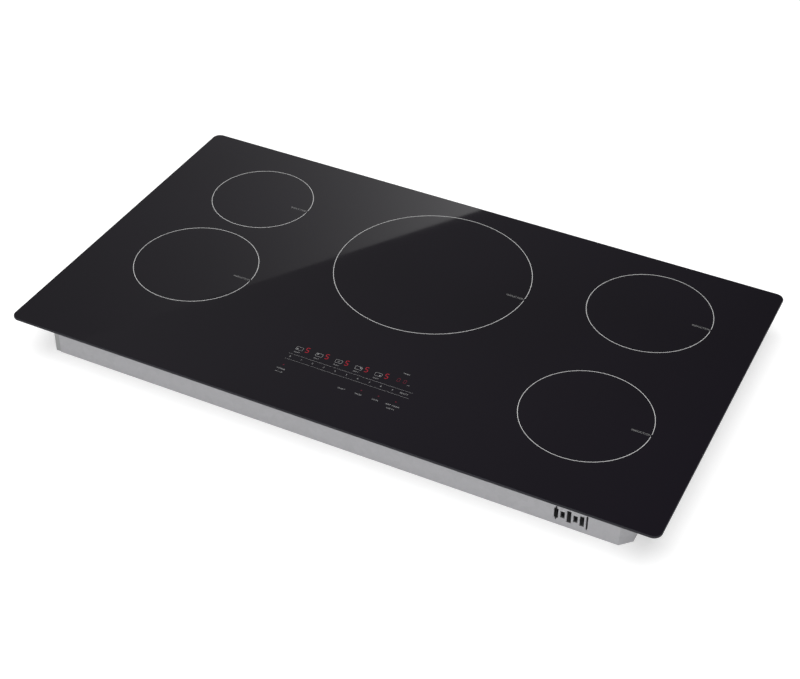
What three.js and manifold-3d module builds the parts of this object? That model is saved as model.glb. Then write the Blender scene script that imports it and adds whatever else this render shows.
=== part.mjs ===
// An electric induction cooktop: five cooking zones under one sheet of black glass, on a sheet-steel pan.
//
// Millimetres, +Z up. The front, where the cook stands and the touch controls are, faces -Y.
// The origin is the centre of the glass in plan, at the underside of the pan.
//
// From the bottom up: the pan holds a bay of electronics, with a blower and an inverter board on each
// side. A frame stands inside the pan's walls. It carries a tray with the five coils, and the glass is
// bonded to its upper flange. The glass overhangs the pan on all sides and rests on the worktop.
import * as THREE from "three";
import { mergeVertices } from "three/addons/utils/BufferGeometryUtils.js";
import Module from "manifold-3d";

const wasm = await Module();
wasm.setup();

// ---------------------------------------------------------------------------------------------------
// Driving dimensions
// ---------------------------------------------------------------------------------------------------

const SEAT = 0.1; // gap kept between two faces that rest on each other
const CLEAR = 0.5; // gap kept around a piece that passes through or stands beside another
const SHANK_CLEAR = 0.3; // gap kept around a screw's or a thread's shank in its hole
const CUT_REACH = 8; // how far a cutter runs past each face of what it cuts

// Glass and its seal
const GLASS_WIDTH = 924;
const GLASS_DEPTH = 527;
const GLASS_THICKNESS = 4;
const GLASS_CORNER_RADIUS = 12;
const GLASS_EDGE_BEVEL = 1;
const SEAL_WIDTH = 10;
const SEAL_THICKNESS = 2;
const SEAL_INSET = 3; // from the edge of the glass
const BEAD_WIDTH = 6;
const BEAD_THICKNESS = 0.8;

// Pan
const SIDE_OVERHANG = 43; // glass past the pan at each side
const FRONT_OVERHANG = 32;
const BACK_OVERHANG = 23;
const PAN_SHEET = 1;
const PAN_CHAMFER = 14.5; // clipped front right corner
const LAP_WIDTH = 8; // side wall's tab that shows beside the front panel
const LAP_STEP = 1; // front panel stands this far proud of the tab
const STANDOFF_HEIGHT = 6;
const STANDOFF_RADIUS = 4;
const STANDOFF_INSET = 8; // from the corner of the board on it

// Frame and tray
const FRAME_SHEET = 1;
const FRAME_FLANGE = 6; // reach past the pan's wall, under the glass
const FRAME_LIP = 10; // ledge that the tray lies on
const TRAY_SHEET = 1.5;
const TRAY_HOLE_RADIUS = 15; // under each coil, for its leads
const TRAY_WINDOW = { width: 90, depth: 60 }; // for the harness
const TRAY_WINDOW_SETBACK = 100; // from the front of the pan to the window's middle

// Cooking zones and their coils
const ZONE_INSET = 114; // from the pan's side wall to the outer zones' middles
// How much of a column's free depth lies behind it, and how much between its two pieces.
const LEFT_COLUMN = { behind: 0.182, between: 0.154 };
const MIDDLE_COLUMN = { behind: 0.18, between: 0.715 };
const RIGHT_COLUMN = { behind: 0.083, between: 0.552 };
const SMALL_ZONE_RADIUS = 75;
const MEDIUM_ZONE_RADIUS = 87.5;
const LARGE_ZONE_RADIUS = 140;
const COIL_MARGIN = 8; // cooking zone's radius less the winding's
const CARRIER_SHEET = 2;
const CARRIER_FOOT_HEIGHT = 3;
const CARRIER_FOOT_RADIUS = 5;
const CARRIER_FEET = 3;
const CARRIER_EYE_RADIUS = 6.5;
const FERRITE_HEIGHT = 5;
const FERRITE_BAR_WIDTH = 12;
const FERRITE_HUB_RADIUS = 21;
const FERRITE_EYE_RADIUS = 13;
const WINDING_HEIGHT = 7;
const WINDING_INNER_RADIUS = 24;
const MICA_THICKNESS = 1;
const MICA_HOLE_RADIUS = 8;
const SENSOR_RADIUS = 6;
const SENSOR_FLANGE_RADIUS = 11;
const SENSOR_FLANGE_HEIGHT = 2;
const SENSOR_TIP_RADIUS = 4;
const SENSOR_TIP_HEIGHT = 1.5;

// Blowers, each with a scroll-shaped housing that blows through a duct to the vents in the wall
const BLOWER_HEIGHT = 32;
const BLOWER_WALL = 1.5;
const BLOWER_INTAKE_RADIUS = 30;
const BLOWER_MOTOR_RADIUS = 14;
const BLOWER_MOTOR_HEIGHT = 8;
const BLOWER_PIN_RADIUS = 4;
const BLOWER_SETBACK = 82; // from the nearer end wall of the pan to the impeller's axis
const IMPELLER_RADIUS = 42;
const IMPELLER_BLADES = 20;
const IMPELLER_BLADE = { chord: 9, thickness: 1.2, lean: THREE.MathUtils.degToRad(35) };
const IMPELLER_PLATE = 1.5;
const IMPELLER_HUB_RADIUS = 9;
const IMPELLER_RUNNING_GAP = 2; // to the housing, all round
const SCROLL_GROWTH = 16; // how much further the scroll's wall stands at its outlet than at its start
const SCROLL_START = THREE.MathUtils.degToRad(-80);
const OUTLET_LENGTH = 66; // from the impeller's axis to the housing's mouth
const BAY_CLEARANCE = 7.8; // above the blowers, to the underside of the frame's lip
const DUCT_WALL = 1.2;
const GRILLE_SLOT = 4;
const GRILLE_PITCH = 9;

// Vents in the pan's walls: a row of upright slots, with a slit through the first and one past the last
const VENT_INSET = 80.4; // from the pan's side wall to the middle of the row
const VENT_PITCH = 8.5;
const VENT_SLOT_WIDTH = 5.8;
const VENT_SLOT_HEIGHTS = [15.5, 10.5, 19, 10.5, 16];
const VENT_SLIT_WIDTH = 2.4;
const VENT_SLIT_HEIGHT = 22;
const VENT_SLIT_GAP = 6.6; // from the last slot's middle to the slit past it
const VENT_HEIGHT = 18.4; // middle of the slots above the pan's underside
const SIDE_VENT_COUNT = 9;
const SIDE_VENT_SETBACK = 130; // from the end wall of the pan to the middle of the row
const SIDE_VENT_HEIGHT = 16;

// Boards
const BOARD_SHEET = 1.6;
const INVERTER_WIDTH = 180;
const INVERTER_SIDE_GAP = 20; // from the pan's side wall
const INVERTER_END_GAP = 32; // from the vented wall of the pan
const INVERTER_BLOWER_GAP = 42; // from the mouth of the blower
const HEATSINK_WIDTH = 48;
const HEATSINK_GAP = 1; // from its fins to the duct
const HEATSINK_END_GAP = 20; // from each end of the board
const HEATSINK_BASE = 4;
const HEATSINK_FINS = 9;
const HEATSINK_FIN = 1.6;
const FILTER_WIDTH = 150;
const FILTER_DEPTH = 110;
const FILTER_OFFSET = -40; // middle of the filter board, across
const FILTER_SETBACK = 75; // its middle from the pan's back wall
const CHOKE_INSET = { x: 12, y: 8 }; // from the board's left and front edges
const CAPACITOR_INSET = { x: 16, y: 14 }; // from the board's right and front edges
const CHOKE_RADIUS = 22;
const CHOKE_EYE_RADIUS = 9;
const CHOKE_HEIGHT = 16;
const CAPACITOR_RADIUS = 13;
const CAPACITOR_GAP = 5; // from its top to the tray

// Supply: terminal block, access cover in the back wall, and the conduit fitting in the cover
const SUPPLY_X = 150;
const COVER_RAISE = 1.4; // cover's lower edge above the pan's underside
const COVER_WIDTH = 140;
const COVER_SHEET = 1.2;
const COVER_OVERLAP = 6; // onto the pan, round the window
const COVER_END_OVERLAP = 18; // at each end, where its screws go
const CONDUIT_BORE_RADIUS = 9;
const CONDUIT_THREAD_RADIUS = 10.6;
const CONDUIT_BODY_RADIUS = 12.5;
const CONDUIT_FLANGE_RADIUS = 15;
const CONDUIT_FLANGE = 4;
const CONDUIT_BODY_LENGTH = 10;
const CONDUIT_THREAD_LENGTH = 8;
const LOCKNUT_WALL = 2.5;
const LOCKNUT_THICKNESS = 3;
const TERMINAL_WIDTH = 64;
const TERMINAL_DEPTH = 24;
const TERMINAL_HEIGHT = 22;
const TERMINAL_SETBACK = 34; // its middle from the pan's back wall
const TERMINAL_WAYS = 4;
const TERMINAL_RIB = 4; // between the pockets, and round them

// Touch controls under the glass
const CONTROL_WIDTH = 200;
const CONTROL_DEPTH = 96;
const CONTROL_WALL = 2;
const CONTROL_LEG = 10;
const DISPLAY_WIDTH = 172;
const DISPLAY_DEPTH = 14;
const DISPLAY_HEIGHT = 4;
const DISPLAY_OFFSET = 21; // behind the middle of the touch strip

// Screws
const SCREW_RADIUS = 1.9;
const SCREW_LENGTH = 7;
const SCREW_HEAD_RADIUS = 3.8;
const SCREW_HEAD_HEIGHT = 2.3;
const SCREW_RECESS = { width: 0.9, length: 4.2, depth: 1.2 };
const SIDE_SCREW_SETBACK = 84; // from the end walls of the pan
const BACK_SCREW_SPACING = 260;
const BACK_SCREW_OFFSET = 20; // middle one, across

// ---------------------------------------------------------------------------------------------------
// Places worked out from them
// ---------------------------------------------------------------------------------------------------

const panLeft = -GLASS_WIDTH / 2 + SIDE_OVERHANG;
const panRight = -panLeft;
const panFront = -GLASS_DEPTH / 2 + FRONT_OVERHANG;
const panBack = GLASS_DEPTH / 2 - BACK_OVERHANG;

const blowerTop = PAN_SHEET + SEAT + BLOWER_HEIGHT; // top of the blowers
const lipBottom = blowerTop + BAY_CLEARANCE;
const trayBottom = lipBottom + FRAME_SHEET + SEAT;
const trayTop = trayBottom + TRAY_SHEET;
const carrierBottom = trayTop + SEAT + CARRIER_FOOT_HEIGHT;
const carrierTop = carrierBottom + CARRIER_SHEET;
const ferriteBottom = carrierTop + SEAT;
const windingBottom = ferriteBottom + FERRITE_HEIGHT + SEAT;
const micaBottom = windingBottom + WINDING_HEIGHT + SEAT;
const glassBottom = micaBottom + MICA_THICKNESS + SEAT;
const flangeTop = glassBottom - BEAD_THICKNESS - 2 * SEAT;
const panTop = flangeTop - FRAME_SHEET - SEAT;
const boardBottom = PAN_SHEET + STANDOFF_HEIGHT + SEAT;
const boardTop = boardBottom + BOARD_SHEET;
const ductHeight = blowerTop - boardTop - SEAT;
const heatSinkHeight = ductHeight - DUCT_WALL - HEATSINK_GAP;
const capacitorLength = trayBottom - CAPACITOR_GAP - boardTop - SEAT;

const trayInset = CLEAR + FRAME_SHEET + CLEAR; // from the pan's inner faces
const trayFront = panFront + LAP_STEP + PAN_SHEET + trayInset;
const trayBack = panBack - PAN_SHEET - trayInset;

/** Middles of a rear and a front piece that share the free depth of the tray between them. */
function columnYs({ behind, between }, rearDepth, frontDepth) {
  const free = trayBack - trayFront - rearDepth - frontDepth;
  const rear = trayBack - behind * free - rearDepth / 2;
  return [rear, rear - rearDepth / 2 - between * free - frontDepth / 2];
}

const largeCoilDepth = 2 * (LARGE_ZONE_RADIUS - COIL_MARGIN);
const bracketDepth = CONTROL_DEPTH + 2 * (CONTROL_WALL + CLEAR);
const zoneX = panRight - ZONE_INSET;
const [leftRearY, leftFrontY] = columnYs(LEFT_COLUMN, 2 * SMALL_ZONE_RADIUS, 2 * MEDIUM_ZONE_RADIUS);
const [centerY, controlY] = columnYs(MIDDLE_COLUMN, largeCoilDepth, bracketDepth);
const [rightRearY, rightFrontY] = columnYs(RIGHT_COLUMN, 2 * MEDIUM_ZONE_RADIUS, 2 * MEDIUM_ZONE_RADIUS);
const ZONES = [
  { name: "left_rear", x: -zoneX, y: leftRearY, radius: SMALL_ZONE_RADIUS, bars: 6 },
  { name: "left_front", x: -zoneX, y: leftFrontY, radius: MEDIUM_ZONE_RADIUS, bars: 6 },
  { name: "center", x: 0, y: centerY, radius: LARGE_ZONE_RADIUS, bars: 8 },
  { name: "right_rear", x: zoneX, y: rightRearY, radius: MEDIUM_ZONE_RADIUS, bars: 6 },
  { name: "right_front", x: zoneX, y: rightFrontY, radius: MEDIUM_ZONE_RADIUS, bars: 6 },
];

const scrollStartRadius = IMPELLER_RADIUS + IMPELLER_RUNNING_GAP + BLOWER_WALL;
const scrollEndRadius = scrollStartRadius + SCROLL_GROWTH;
const outletInner = scrollStartRadius * Math.cos(SCROLL_START);
const outletMiddle = (outletInner + scrollEndRadius) / 2;
const outletWidth = scrollEndRadius - outletInner;
const ventX = panRight - VENT_INSET; // row of vents, heat sink and duct are in one line
const windowWidth = COVER_WIDTH - 2 * COVER_END_OVERLAP;
const locknutFlat = CONDUIT_THREAD_RADIUS + LOCKNUT_WALL; // from its axis to each flat
const windowHeight = 2 * (locknutFlat + CLEAR);
const coverHeight = windowHeight + 2 * COVER_OVERLAP;
const supplyHeight = COVER_RAISE + coverHeight / 2;
const sideScrewYs = [panFront + SIDE_SCREW_SETBACK, panBack - SIDE_SCREW_SETBACK];
const backScrewXs = [-1, 0, 1].map((i) => BACK_SCREW_OFFSET + i * BACK_SCREW_SPACING);
const screwZ = (lipBottom + flangeTop) / 2; // into the frame's upright
const coverScrewXs = [-1, 1].map((i) => SUPPLY_X + (i * (COVER_WIDTH - COVER_END_OVERLAP)) / 2);

// ---------------------------------------------------------------------------------------------------
// Shapes and solids
// ---------------------------------------------------------------------------------------------------

/** A geometry as a solid that can be joined and cut. */
function solid(geometry) {
  const plain = geometry.index ? geometry.toNonIndexed() : geometry.clone();
  plain.deleteAttribute("normal");
  plain.deleteAttribute("uv");
  const merged = mergeVertices(plain, 1e-4);
  return new wasm.Manifold(
    new wasm.Mesh({
      numProp: 3,
      vertProperties: merged.attributes.position.array,
      triVerts: new Uint32Array(merged.index.array),
    }),
  );
}

/** A solid back as a geometry. */
function geometryOf(body) {
  const mesh = body.getMesh();
  const positions = new Float32Array(mesh.numVert * 3);
  for (let i = 0; i < mesh.numVert; i++) {
    positions.set(mesh.vertProperties.subarray(i * mesh.numProp, i * mesh.numProp + 3), i * 3);
  }
  const geometry = new THREE.BufferGeometry();
  geometry.setAttribute("position", new THREE.BufferAttribute(positions, 3));
  geometry.setIndex(new THREE.BufferAttribute(mesh.triVerts, 1));
  const faceted = geometry.toNonIndexed();
  faceted.computeVertexNormals();
  return faceted;
}

const join = (...bodies) => bodies.reduce((all, body) => all.add(body));
const cut = (body, ...tools) => tools.reduce((left, tool) => left.subtract(tool), body);

/** A closed outline from [x, y] points. */
const polygon = (points) => new THREE.Shape(points.map(([x, y]) => new THREE.Vector2(x, y)));

/** A rectangle with round corners, centred on the origin. */
function roundedRectangle(width, depth, radius) {
  const x = width / 2 - radius;
  const y = depth / 2 - radius;
  const shape = new THREE.Shape();
  shape.absarc(x, -y, radius, -Math.PI / 2, 0);
  shape.absarc(x, y, radius, 0, Math.PI / 2);
  shape.absarc(-x, y, radius, Math.PI / 2, Math.PI);
  shape.absarc(-x, -y, radius, Math.PI, (3 * Math.PI) / 2);
  shape.closePath();
  return shape;
}

/** A flat piece from an outline, with its underside at z. */
function slab(shape, thickness, z = 0, curveSegments = 6) {
  const geometry = new THREE.ExtrudeGeometry(shape, {
    depth: thickness,
    bevelEnabled: false,
    curveSegments,
  });
  return geometry.translate(0, 0, z);
}

/** A flat ring between two outlines. */
function ringSlab(outer, inner, thickness, z = 0, curveSegments = 6) {
  const shape = outer.clone();
  shape.holes.push(inner);
  return slab(shape, thickness, z, curveSegments);
}

/** An outline in the XZ plane drawn out along +Y from y = 0. */
function drawnOut(shape, length) {
  const geometry = slab(shape, length);
  return geometry.rotateX(Math.PI / 2).translate(0, length, 0);
}

/** A box from its middle in plan and its underside. */
function block(width, depth, height, x = 0, y = 0, z = 0) {
  return new THREE.BoxGeometry(width, depth, height).translate(x, y, z + height / 2);
}

/** An upright round bar from its underside. */
function bar(radius, height, x = 0, y = 0, z = 0, segments = 16) {
  const geometry = new THREE.CylinderGeometry(radius, radius, height, segments);
  return geometry.rotateX(Math.PI / 2).translate(x, y, z + height / 2);
}

/** A solid turned about Z from [radius, height] points, listed upwards along its outside. */
function turned(points, segments = 16) {
  const profile = points.map(([radius, height]) => new THREE.Vector2(radius, height));
  return new THREE.LatheGeometry(profile, segments).rotateX(Math.PI / 2);
}

/** A tube turned about Z, with a plain bore and an outside from [radius, height] points. */
function turnedTube(boreRadius, outside, segments = 16) {
  const low = outside[0][1];
  const high = outside[outside.length - 1][1];
  return turned([[boreRadius, low], ...outside, [boreRadius, high], [boreRadius, low]], segments);
}

const black = { color: 0x141416 };
const MATERIALS = {
  glass: { color: 0x0d0d0f, roughness: 0.06, metalness: 0 },
  foam: { ...black, roughness: 0.95, metalness: 0 },
  silicone: { color: 0x1c1c1e, roughness: 0.6, metalness: 0 },
  steel: { color: 0xa9aaad, roughness: 0.42, metalness: 0.85 },
  aluminium: { color: 0xc4c6c8, roughness: 0.35, metalness: 1 },
  ferrite: { color: 0x2b2b2e, roughness: 0.7, metalness: 0 },
  copper: { color: 0xb0653c, roughness: 0.4, metalness: 1 },
  mica: { color: 0xb8a582, roughness: 0.7, metalness: 0 },
  sensor: { color: 0xe8e6df, roughness: 0.6, metalness: 0 },
  circuit: { color: 0x1f5a35, roughness: 0.5, metalness: 0 },
  plastic: { ...black, roughness: 0.5, metalness: 0 },
  pale_plastic: { color: 0xd9d8d2, roughness: 0.5, metalness: 0 },
  capacitor: { color: 0x2a3f7a, roughness: 0.4, metalness: 0 },
  display: { color: 0x2a0608, roughness: 0.3, metalness: 0 },
  zinc: { color: 0xc9cacc, roughness: 0.35, metalness: 1 },
};

/** A named piece with its own material, at a place. */
function piece(name, geometry, material, x = 0, y = 0, z = 0) {
  const mesh = new THREE.Mesh(geometry, new THREE.MeshStandardMaterial(MATERIALS[material]));
  mesh.name = name;
  mesh.position.set(x, y, z);
  return mesh;
}

// ---------------------------------------------------------------------------------------------------
// Outlines that the pan, the frame and the tray share
// ---------------------------------------------------------------------------------------------------

/** The pan's inner outline, or one a distance inside it, with the front right corner clipped. */
function wellOutline(inset) {
  const left = panLeft + PAN_SHEET + inset;
  const right = panRight - PAN_SHEET - inset;
  const front = panFront + LAP_STEP + PAN_SHEET + inset;
  const back = panBack - PAN_SHEET - inset;
  // A wall moved inwards shortens the clip, because its 45 degree face moves in as well.
  const clip = PAN_CHAMFER - (PAN_SHEET + inset) * (2 - Math.SQRT2);
  return polygon([
    [left, front],
    [right - clip, front],
    [right, front + clip],
    [right, back],
    [left, back],
  ]);
}

/** The pan's outer outline, stepped at the front left where the front panel laps the side wall's tab. */
function panOutline() {
  return polygon([
    [panLeft, panFront + LAP_STEP],
    [panLeft + LAP_WIDTH, panFront + LAP_STEP],
    [panLeft + LAP_WIDTH, panFront],
    [panRight - PAN_CHAMFER, panFront],
    [panRight, panFront + PAN_CHAMFER],
    [panRight, panBack],
    [panLeft, panBack],
  ]);
}

/** Corners of a board, in from its edges, where its standoffs are. */
function boardCorners(width, depth) {
  const x = width / 2 - STANDOFF_INSET;
  const y = depth / 2 - STANDOFF_INSET;
  return [
    [-x, -y],
    [x, -y],
    [x, y],
    [-x, y],
  ];
}

const blowerX = ventX - outletMiddle;
const blowerY = panBack - BLOWER_SETBACK;
const inverterFront = panFront + INVERTER_END_GAP;
const inverterDepth = blowerY - OUTLET_LENGTH - INVERTER_BLOWER_GAP - inverterFront;
const inverterX = panRight - PAN_SHEET - INVERTER_SIDE_GAP - INVERTER_WIDTH / 2;
const inverterY = inverterFront + inverterDepth / 2;
const heatSinkLength = inverterDepth - 2 * HEATSINK_END_GAP;
const filterY = panBack - FILTER_SETBACK;

/** Side sub-assemblies: the right one as drawn, the left one turned half round to blow backwards. */
const SIDES = [
  { name: "right", turn: 0, y: 0 },
  { name: "left", turn: Math.PI, y: panFront + panBack },
];

/** A point of the right-hand side, carried to a side. */
const atSide = (side, x, y) => (side.turn ? [-x, side.y - y] : [x, y]);

// ---------------------------------------------------------------------------------------------------
// Glass, seal and bead
// ---------------------------------------------------------------------------------------------------

function glassTop() {
  const shape = roundedRectangle(GLASS_WIDTH, GLASS_DEPTH, GLASS_CORNER_RADIUS);
  const geometry = new THREE.ExtrudeGeometry(shape, {
    depth: GLASS_THICKNESS - 2 * GLASS_EDGE_BEVEL,
    bevelThickness: GLASS_EDGE_BEVEL,
    bevelSize: GLASS_EDGE_BEVEL,
    bevelOffset: -GLASS_EDGE_BEVEL,
    bevelSegments: 2,
    curveSegments: 7,
  });
  return geometry.translate(0, 0, GLASS_EDGE_BEVEL);
}

function sealOutline(inset) {
  return roundedRectangle(
    GLASS_WIDTH - 2 * inset,
    GLASS_DEPTH - 2 * inset,
    Math.max(GLASS_CORNER_RADIUS - inset, 1),
  );
}

function perimeterSeal() {
  return ringSlab(sealOutline(SEAL_INSET), sealOutline(SEAL_INSET + SEAL_WIDTH), SEAL_THICKNESS);
}

/** Silicone that bonds the glass to the frame's flange. */
function glassBead() {
  const outer = -(PAN_SHEET + FRAME_FLANGE - SEAT);
  return ringSlab(wellOutline(outer), wellOutline(outer + BEAD_WIDTH), BEAD_THICKNESS);
}

// ---------------------------------------------------------------------------------------------------
// Pan
// ---------------------------------------------------------------------------------------------------

/** Upright slots and two slits, as cutters that reach through a wall at y = 0. */
function ventCutters() {
  const reach = 2 * CUT_REACH;
  const middle = (VENT_SLOT_HEIGHTS.length - 1) / 2;
  const slots = VENT_SLOT_HEIGHTS.map((height, i) =>
    block(VENT_SLOT_WIDTH, reach, height, (i - middle) * VENT_PITCH, 0, VENT_HEIGHT - height / 2),
  );
  const slitXs = [-middle * VENT_PITCH, middle * VENT_PITCH + VENT_SLIT_GAP];
  const slitZ = VENT_HEIGHT - VENT_SLIT_HEIGHT / 2;
  const slits = slitXs.map((x) => block(VENT_SLIT_WIDTH, reach, VENT_SLIT_HEIGHT, x, 0, slitZ));
  return [...slots, ...slits];
}

/** Slots under a blower's intake, each as long as the chord of the intake's circle there. */
function grilleCutters() {
  const cutters = [];
  const rows = Math.floor((BLOWER_INTAKE_RADIUS - GRILLE_SLOT) / GRILLE_PITCH);
  for (let row = -rows; row <= rows; row++) {
    const y = row * GRILLE_PITCH;
    const length = 2 * Math.sqrt(BLOWER_INTAKE_RADIUS ** 2 - y ** 2) - GRILLE_SLOT;
    cutters.push(block(length, GRILLE_SLOT, PAN_SHEET + 2 * SEAT, 0, y, -SEAT));
  }
  return cutters;
}

/** Slots in a side wall at x = 0. */
function sideVentCutters() {
  const middle = (SIDE_VENT_COUNT - 1) / 2;
  return Array.from({ length: SIDE_VENT_COUNT }, (_, i) =>
    block(
      2 * CUT_REACH,
      VENT_SLOT_WIDTH,
      SIDE_VENT_HEIGHT,
      0,
      (i - middle) * 2 * VENT_PITCH,
      VENT_HEIGHT - SIDE_VENT_HEIGHT / 2,
    ),
  );
}

/** A clearance hole for a screw, along the X or the Y axis. */
function screwHole(along, x, y, z) {
  const radius = SCREW_RADIUS + SHANK_CLEAR;
  const hole = new THREE.CylinderGeometry(radius, radius, 2 * CUT_REACH, 10);
  if (along === "x") hole.rotateZ(Math.PI / 2);
  return solid(hole.translate(x, y, z));
}

/** Holes for the screws that hold the pan to the frame. */
function frameScrewHoles() {
  const sides = [panLeft, panRight].flatMap((x) => sideScrewYs.map((y) => screwHole("x", x, y, screwZ)));
  const back = backScrewXs.map((x) => screwHole("y", x, panBack, screwZ));
  return [...sides, ...back];
}

function bottomPan() {
  const tub = cut(solid(slab(panOutline(), panTop)), solid(slab(wellOutline(0), panTop, PAN_SHEET)));
  const standoffs = [];
  const openings = [];
  for (const side of SIDES) {
    const [boardX, boardY] = atSide(side, inverterX, inverterY);
    for (const [x, y] of boardCorners(INVERTER_WIDTH, inverterDepth)) {
      standoffs.push([boardX + x, boardY + y]);
    }
    const [intakeX, intakeY] = atSide(side, blowerX, blowerY);
    openings.push(...grilleCutters().map((g) => g.translate(intakeX, intakeY, 0)));
    const [rowX, rowY] = atSide(side, ventX, panFront);
    openings.push(...ventCutters().map((g) => g.rotateZ(side.turn).translate(rowX, rowY, 0)));
    const [wallX, wallY] = atSide(side, panRight, panBack - SIDE_VENT_SETBACK);
    openings.push(...sideVentCutters().map((g) => g.translate(wallX, wallY, 0)));
  }
  for (const [x, y] of boardCorners(FILTER_WIDTH, FILTER_DEPTH)) {
    standoffs.push([FILTER_OFFSET + x, filterY + y]);
  }
  const window = block(
    windowWidth,
    2 * CUT_REACH,
    windowHeight,
    SUPPLY_X,
    panBack,
    supplyHeight - windowHeight / 2,
  );
  const posts = standoffs.map(([x, y]) =>
    solid(bar(STANDOFF_RADIUS, STANDOFF_HEIGHT + PAN_SHEET / 2, x, y, PAN_SHEET / 2, 8)),
  );
  const coverHoles = coverScrewXs.map((x) => screwHole("y", x, panBack, supplyHeight));
  return geometryOf(
    cut(
      join(tub, ...posts),
      ...openings.map(solid),
      solid(window),
      ...coverHoles,
      ...frameScrewHoles(),
    ),
  );
}

// ---------------------------------------------------------------------------------------------------
// Frame and tray
// ---------------------------------------------------------------------------------------------------

/** A Z-section ring: a flange out under the glass, an upright inside the pan, and a lip for the tray. */
function supportFrame() {
  const uprightInset = CLEAR;
  const inner = uprightInset + FRAME_SHEET;
  const upright = ringSlab(
    wellOutline(uprightInset),
    wellOutline(inner),
    flangeTop - lipBottom,
    lipBottom,
  );
  const flange = ringSlab(
    wellOutline(-(PAN_SHEET + FRAME_FLANGE)),
    wellOutline(inner),
    FRAME_SHEET,
    flangeTop - FRAME_SHEET,
  );
  const lip = ringSlab(wellOutline(uprightInset), wellOutline(FRAME_LIP), FRAME_SHEET, lipBottom);
  return geometryOf(cut(join(solid(upright), solid(flange), solid(lip)), ...frameScrewHoles()));
}

/** The shelf that the coils stand on. */
function coilTray() {
  const shape = wellOutline(trayInset);
  const sheet = solid(slab(shape, TRAY_SHEET, trayBottom));
  const holes = ZONES.map((zone) =>
    solid(bar(TRAY_HOLE_RADIUS, 2 * CUT_REACH, zone.x, zone.y, trayBottom - CUT_REACH, 16)),
  );
  const harness = block(
    TRAY_WINDOW.width,
    TRAY_WINDOW.depth,
    2 * CUT_REACH,
    panLeft / 2,
    panFront + TRAY_WINDOW_SETBACK,
    trayBottom - CUT_REACH,
  );
  return geometryOf(cut(sheet, ...holes, solid(harness)));
}

// ---------------------------------------------------------------------------------------------------
// Coils
// ---------------------------------------------------------------------------------------------------

/** The aluminium plate under a coil, on three feet. */
function coilCarrier(radius) {
  const plate = bar(radius, CARRIER_SHEET, 0, 0, carrierBottom, 28);
  const eye = bar(CARRIER_EYE_RADIUS, 2 * CUT_REACH, 0, 0, carrierBottom - CUT_REACH, 12);
  const feet = Array.from({ length: CARRIER_FEET }, (_, i) => {
    const angle = (i + 0.25) * ((2 * Math.PI) / CARRIER_FEET);
    const reach = radius - 2 * CARRIER_FOOT_RADIUS;
    return solid(
      bar(
        CARRIER_FOOT_RADIUS,
        CARRIER_FOOT_HEIGHT + CARRIER_SHEET / 2,
        reach * Math.cos(angle),
        reach * Math.sin(angle),
        carrierBottom - CARRIER_FOOT_HEIGHT,
        8,
      ),
    );
  });
  return geometryOf(cut(join(solid(plate), ...feet), solid(eye)));
}

/** Ferrite bars that reach out from a hub, to turn the field upwards. */
function ferriteStar(radius, bars) {
  const reach = radius - FERRITE_HUB_RADIUS + FERRITE_BAR_WIDTH / 2;
  const spokes = Array.from({ length: bars }, (_, i) => {
    const spoke = block(reach, FERRITE_BAR_WIDTH, FERRITE_HEIGHT, radius - reach / 2, 0, ferriteBottom);
    return solid(spoke.rotateZ((i * 2 * Math.PI) / bars));
  });
  const hub = bar(FERRITE_HUB_RADIUS, FERRITE_HEIGHT, 0, 0, ferriteBottom, 4 * bars);
  const eye = bar(FERRITE_EYE_RADIUS, FERRITE_HEIGHT + 2 * CUT_REACH, 0, 0, ferriteBottom - CUT_REACH, 16);
  return geometryOf(cut(join(solid(hub), ...spokes), solid(eye)));
}

/** The flat winding of stranded wire, with its edges rounded over. */
function coilWinding(radius) {
  const round = WINDING_HEIGHT / 4;
  return turnedTube(
    WINDING_INNER_RADIUS,
    [
      [radius - round, windingBottom],
      [radius, windingBottom + round],
      [radius, windingBottom + WINDING_HEIGHT - round],
      [radius - round, windingBottom + WINDING_HEIGHT],
    ],
    36,
  );
}

/** The sheet that keeps the winding off the glass. */
function micaDisc(radius) {
  const outside = [
    [radius, micaBottom],
    [radius, micaBottom + MICA_THICKNESS],
  ];
  return turnedTube(MICA_HOLE_RADIUS, outside, 28);
}

/** The temperature sensor in the middle of a coil, pressed up against the glass. */
function temperatureSensor() {
  const low = ferriteBottom;
  const top = glassBottom - SEAT;
  return turned(
    [
      [0, low],
      [SENSOR_FLANGE_RADIUS, low],
      [SENSOR_FLANGE_RADIUS, low + SENSOR_FLANGE_HEIGHT],
      [SENSOR_RADIUS, low + 2 * SENSOR_FLANGE_HEIGHT],
      [SENSOR_RADIUS, top - SENSOR_TIP_HEIGHT],
      [SENSOR_TIP_RADIUS, top],
      [0, top],
    ],
    12,
  );
}

function coilStack(zone) {
  const radius = zone.radius - COIL_MARGIN;
  const group = new THREE.Group();
  group.position.set(zone.x, zone.y, 0);
  group.add(
    piece(`coil_carrier_${zone.name}`, coilCarrier(radius), "aluminium"),
    piece(`ferrite_star_${zone.name}`, ferriteStar(radius, zone.bars), "ferrite"),
    piece(`coil_winding_${zone.name}`, coilWinding(radius), "copper"),
    piece(`mica_disc_${zone.name}`, micaDisc(radius), "mica"),
    piece(`temperature_sensor_${zone.name}`, temperatureSensor(), "sensor"),
  );
  return group;
}

// ---------------------------------------------------------------------------------------------------
// Blowers, ducts, inverter boards and heat sinks
// ---------------------------------------------------------------------------------------------------

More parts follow.
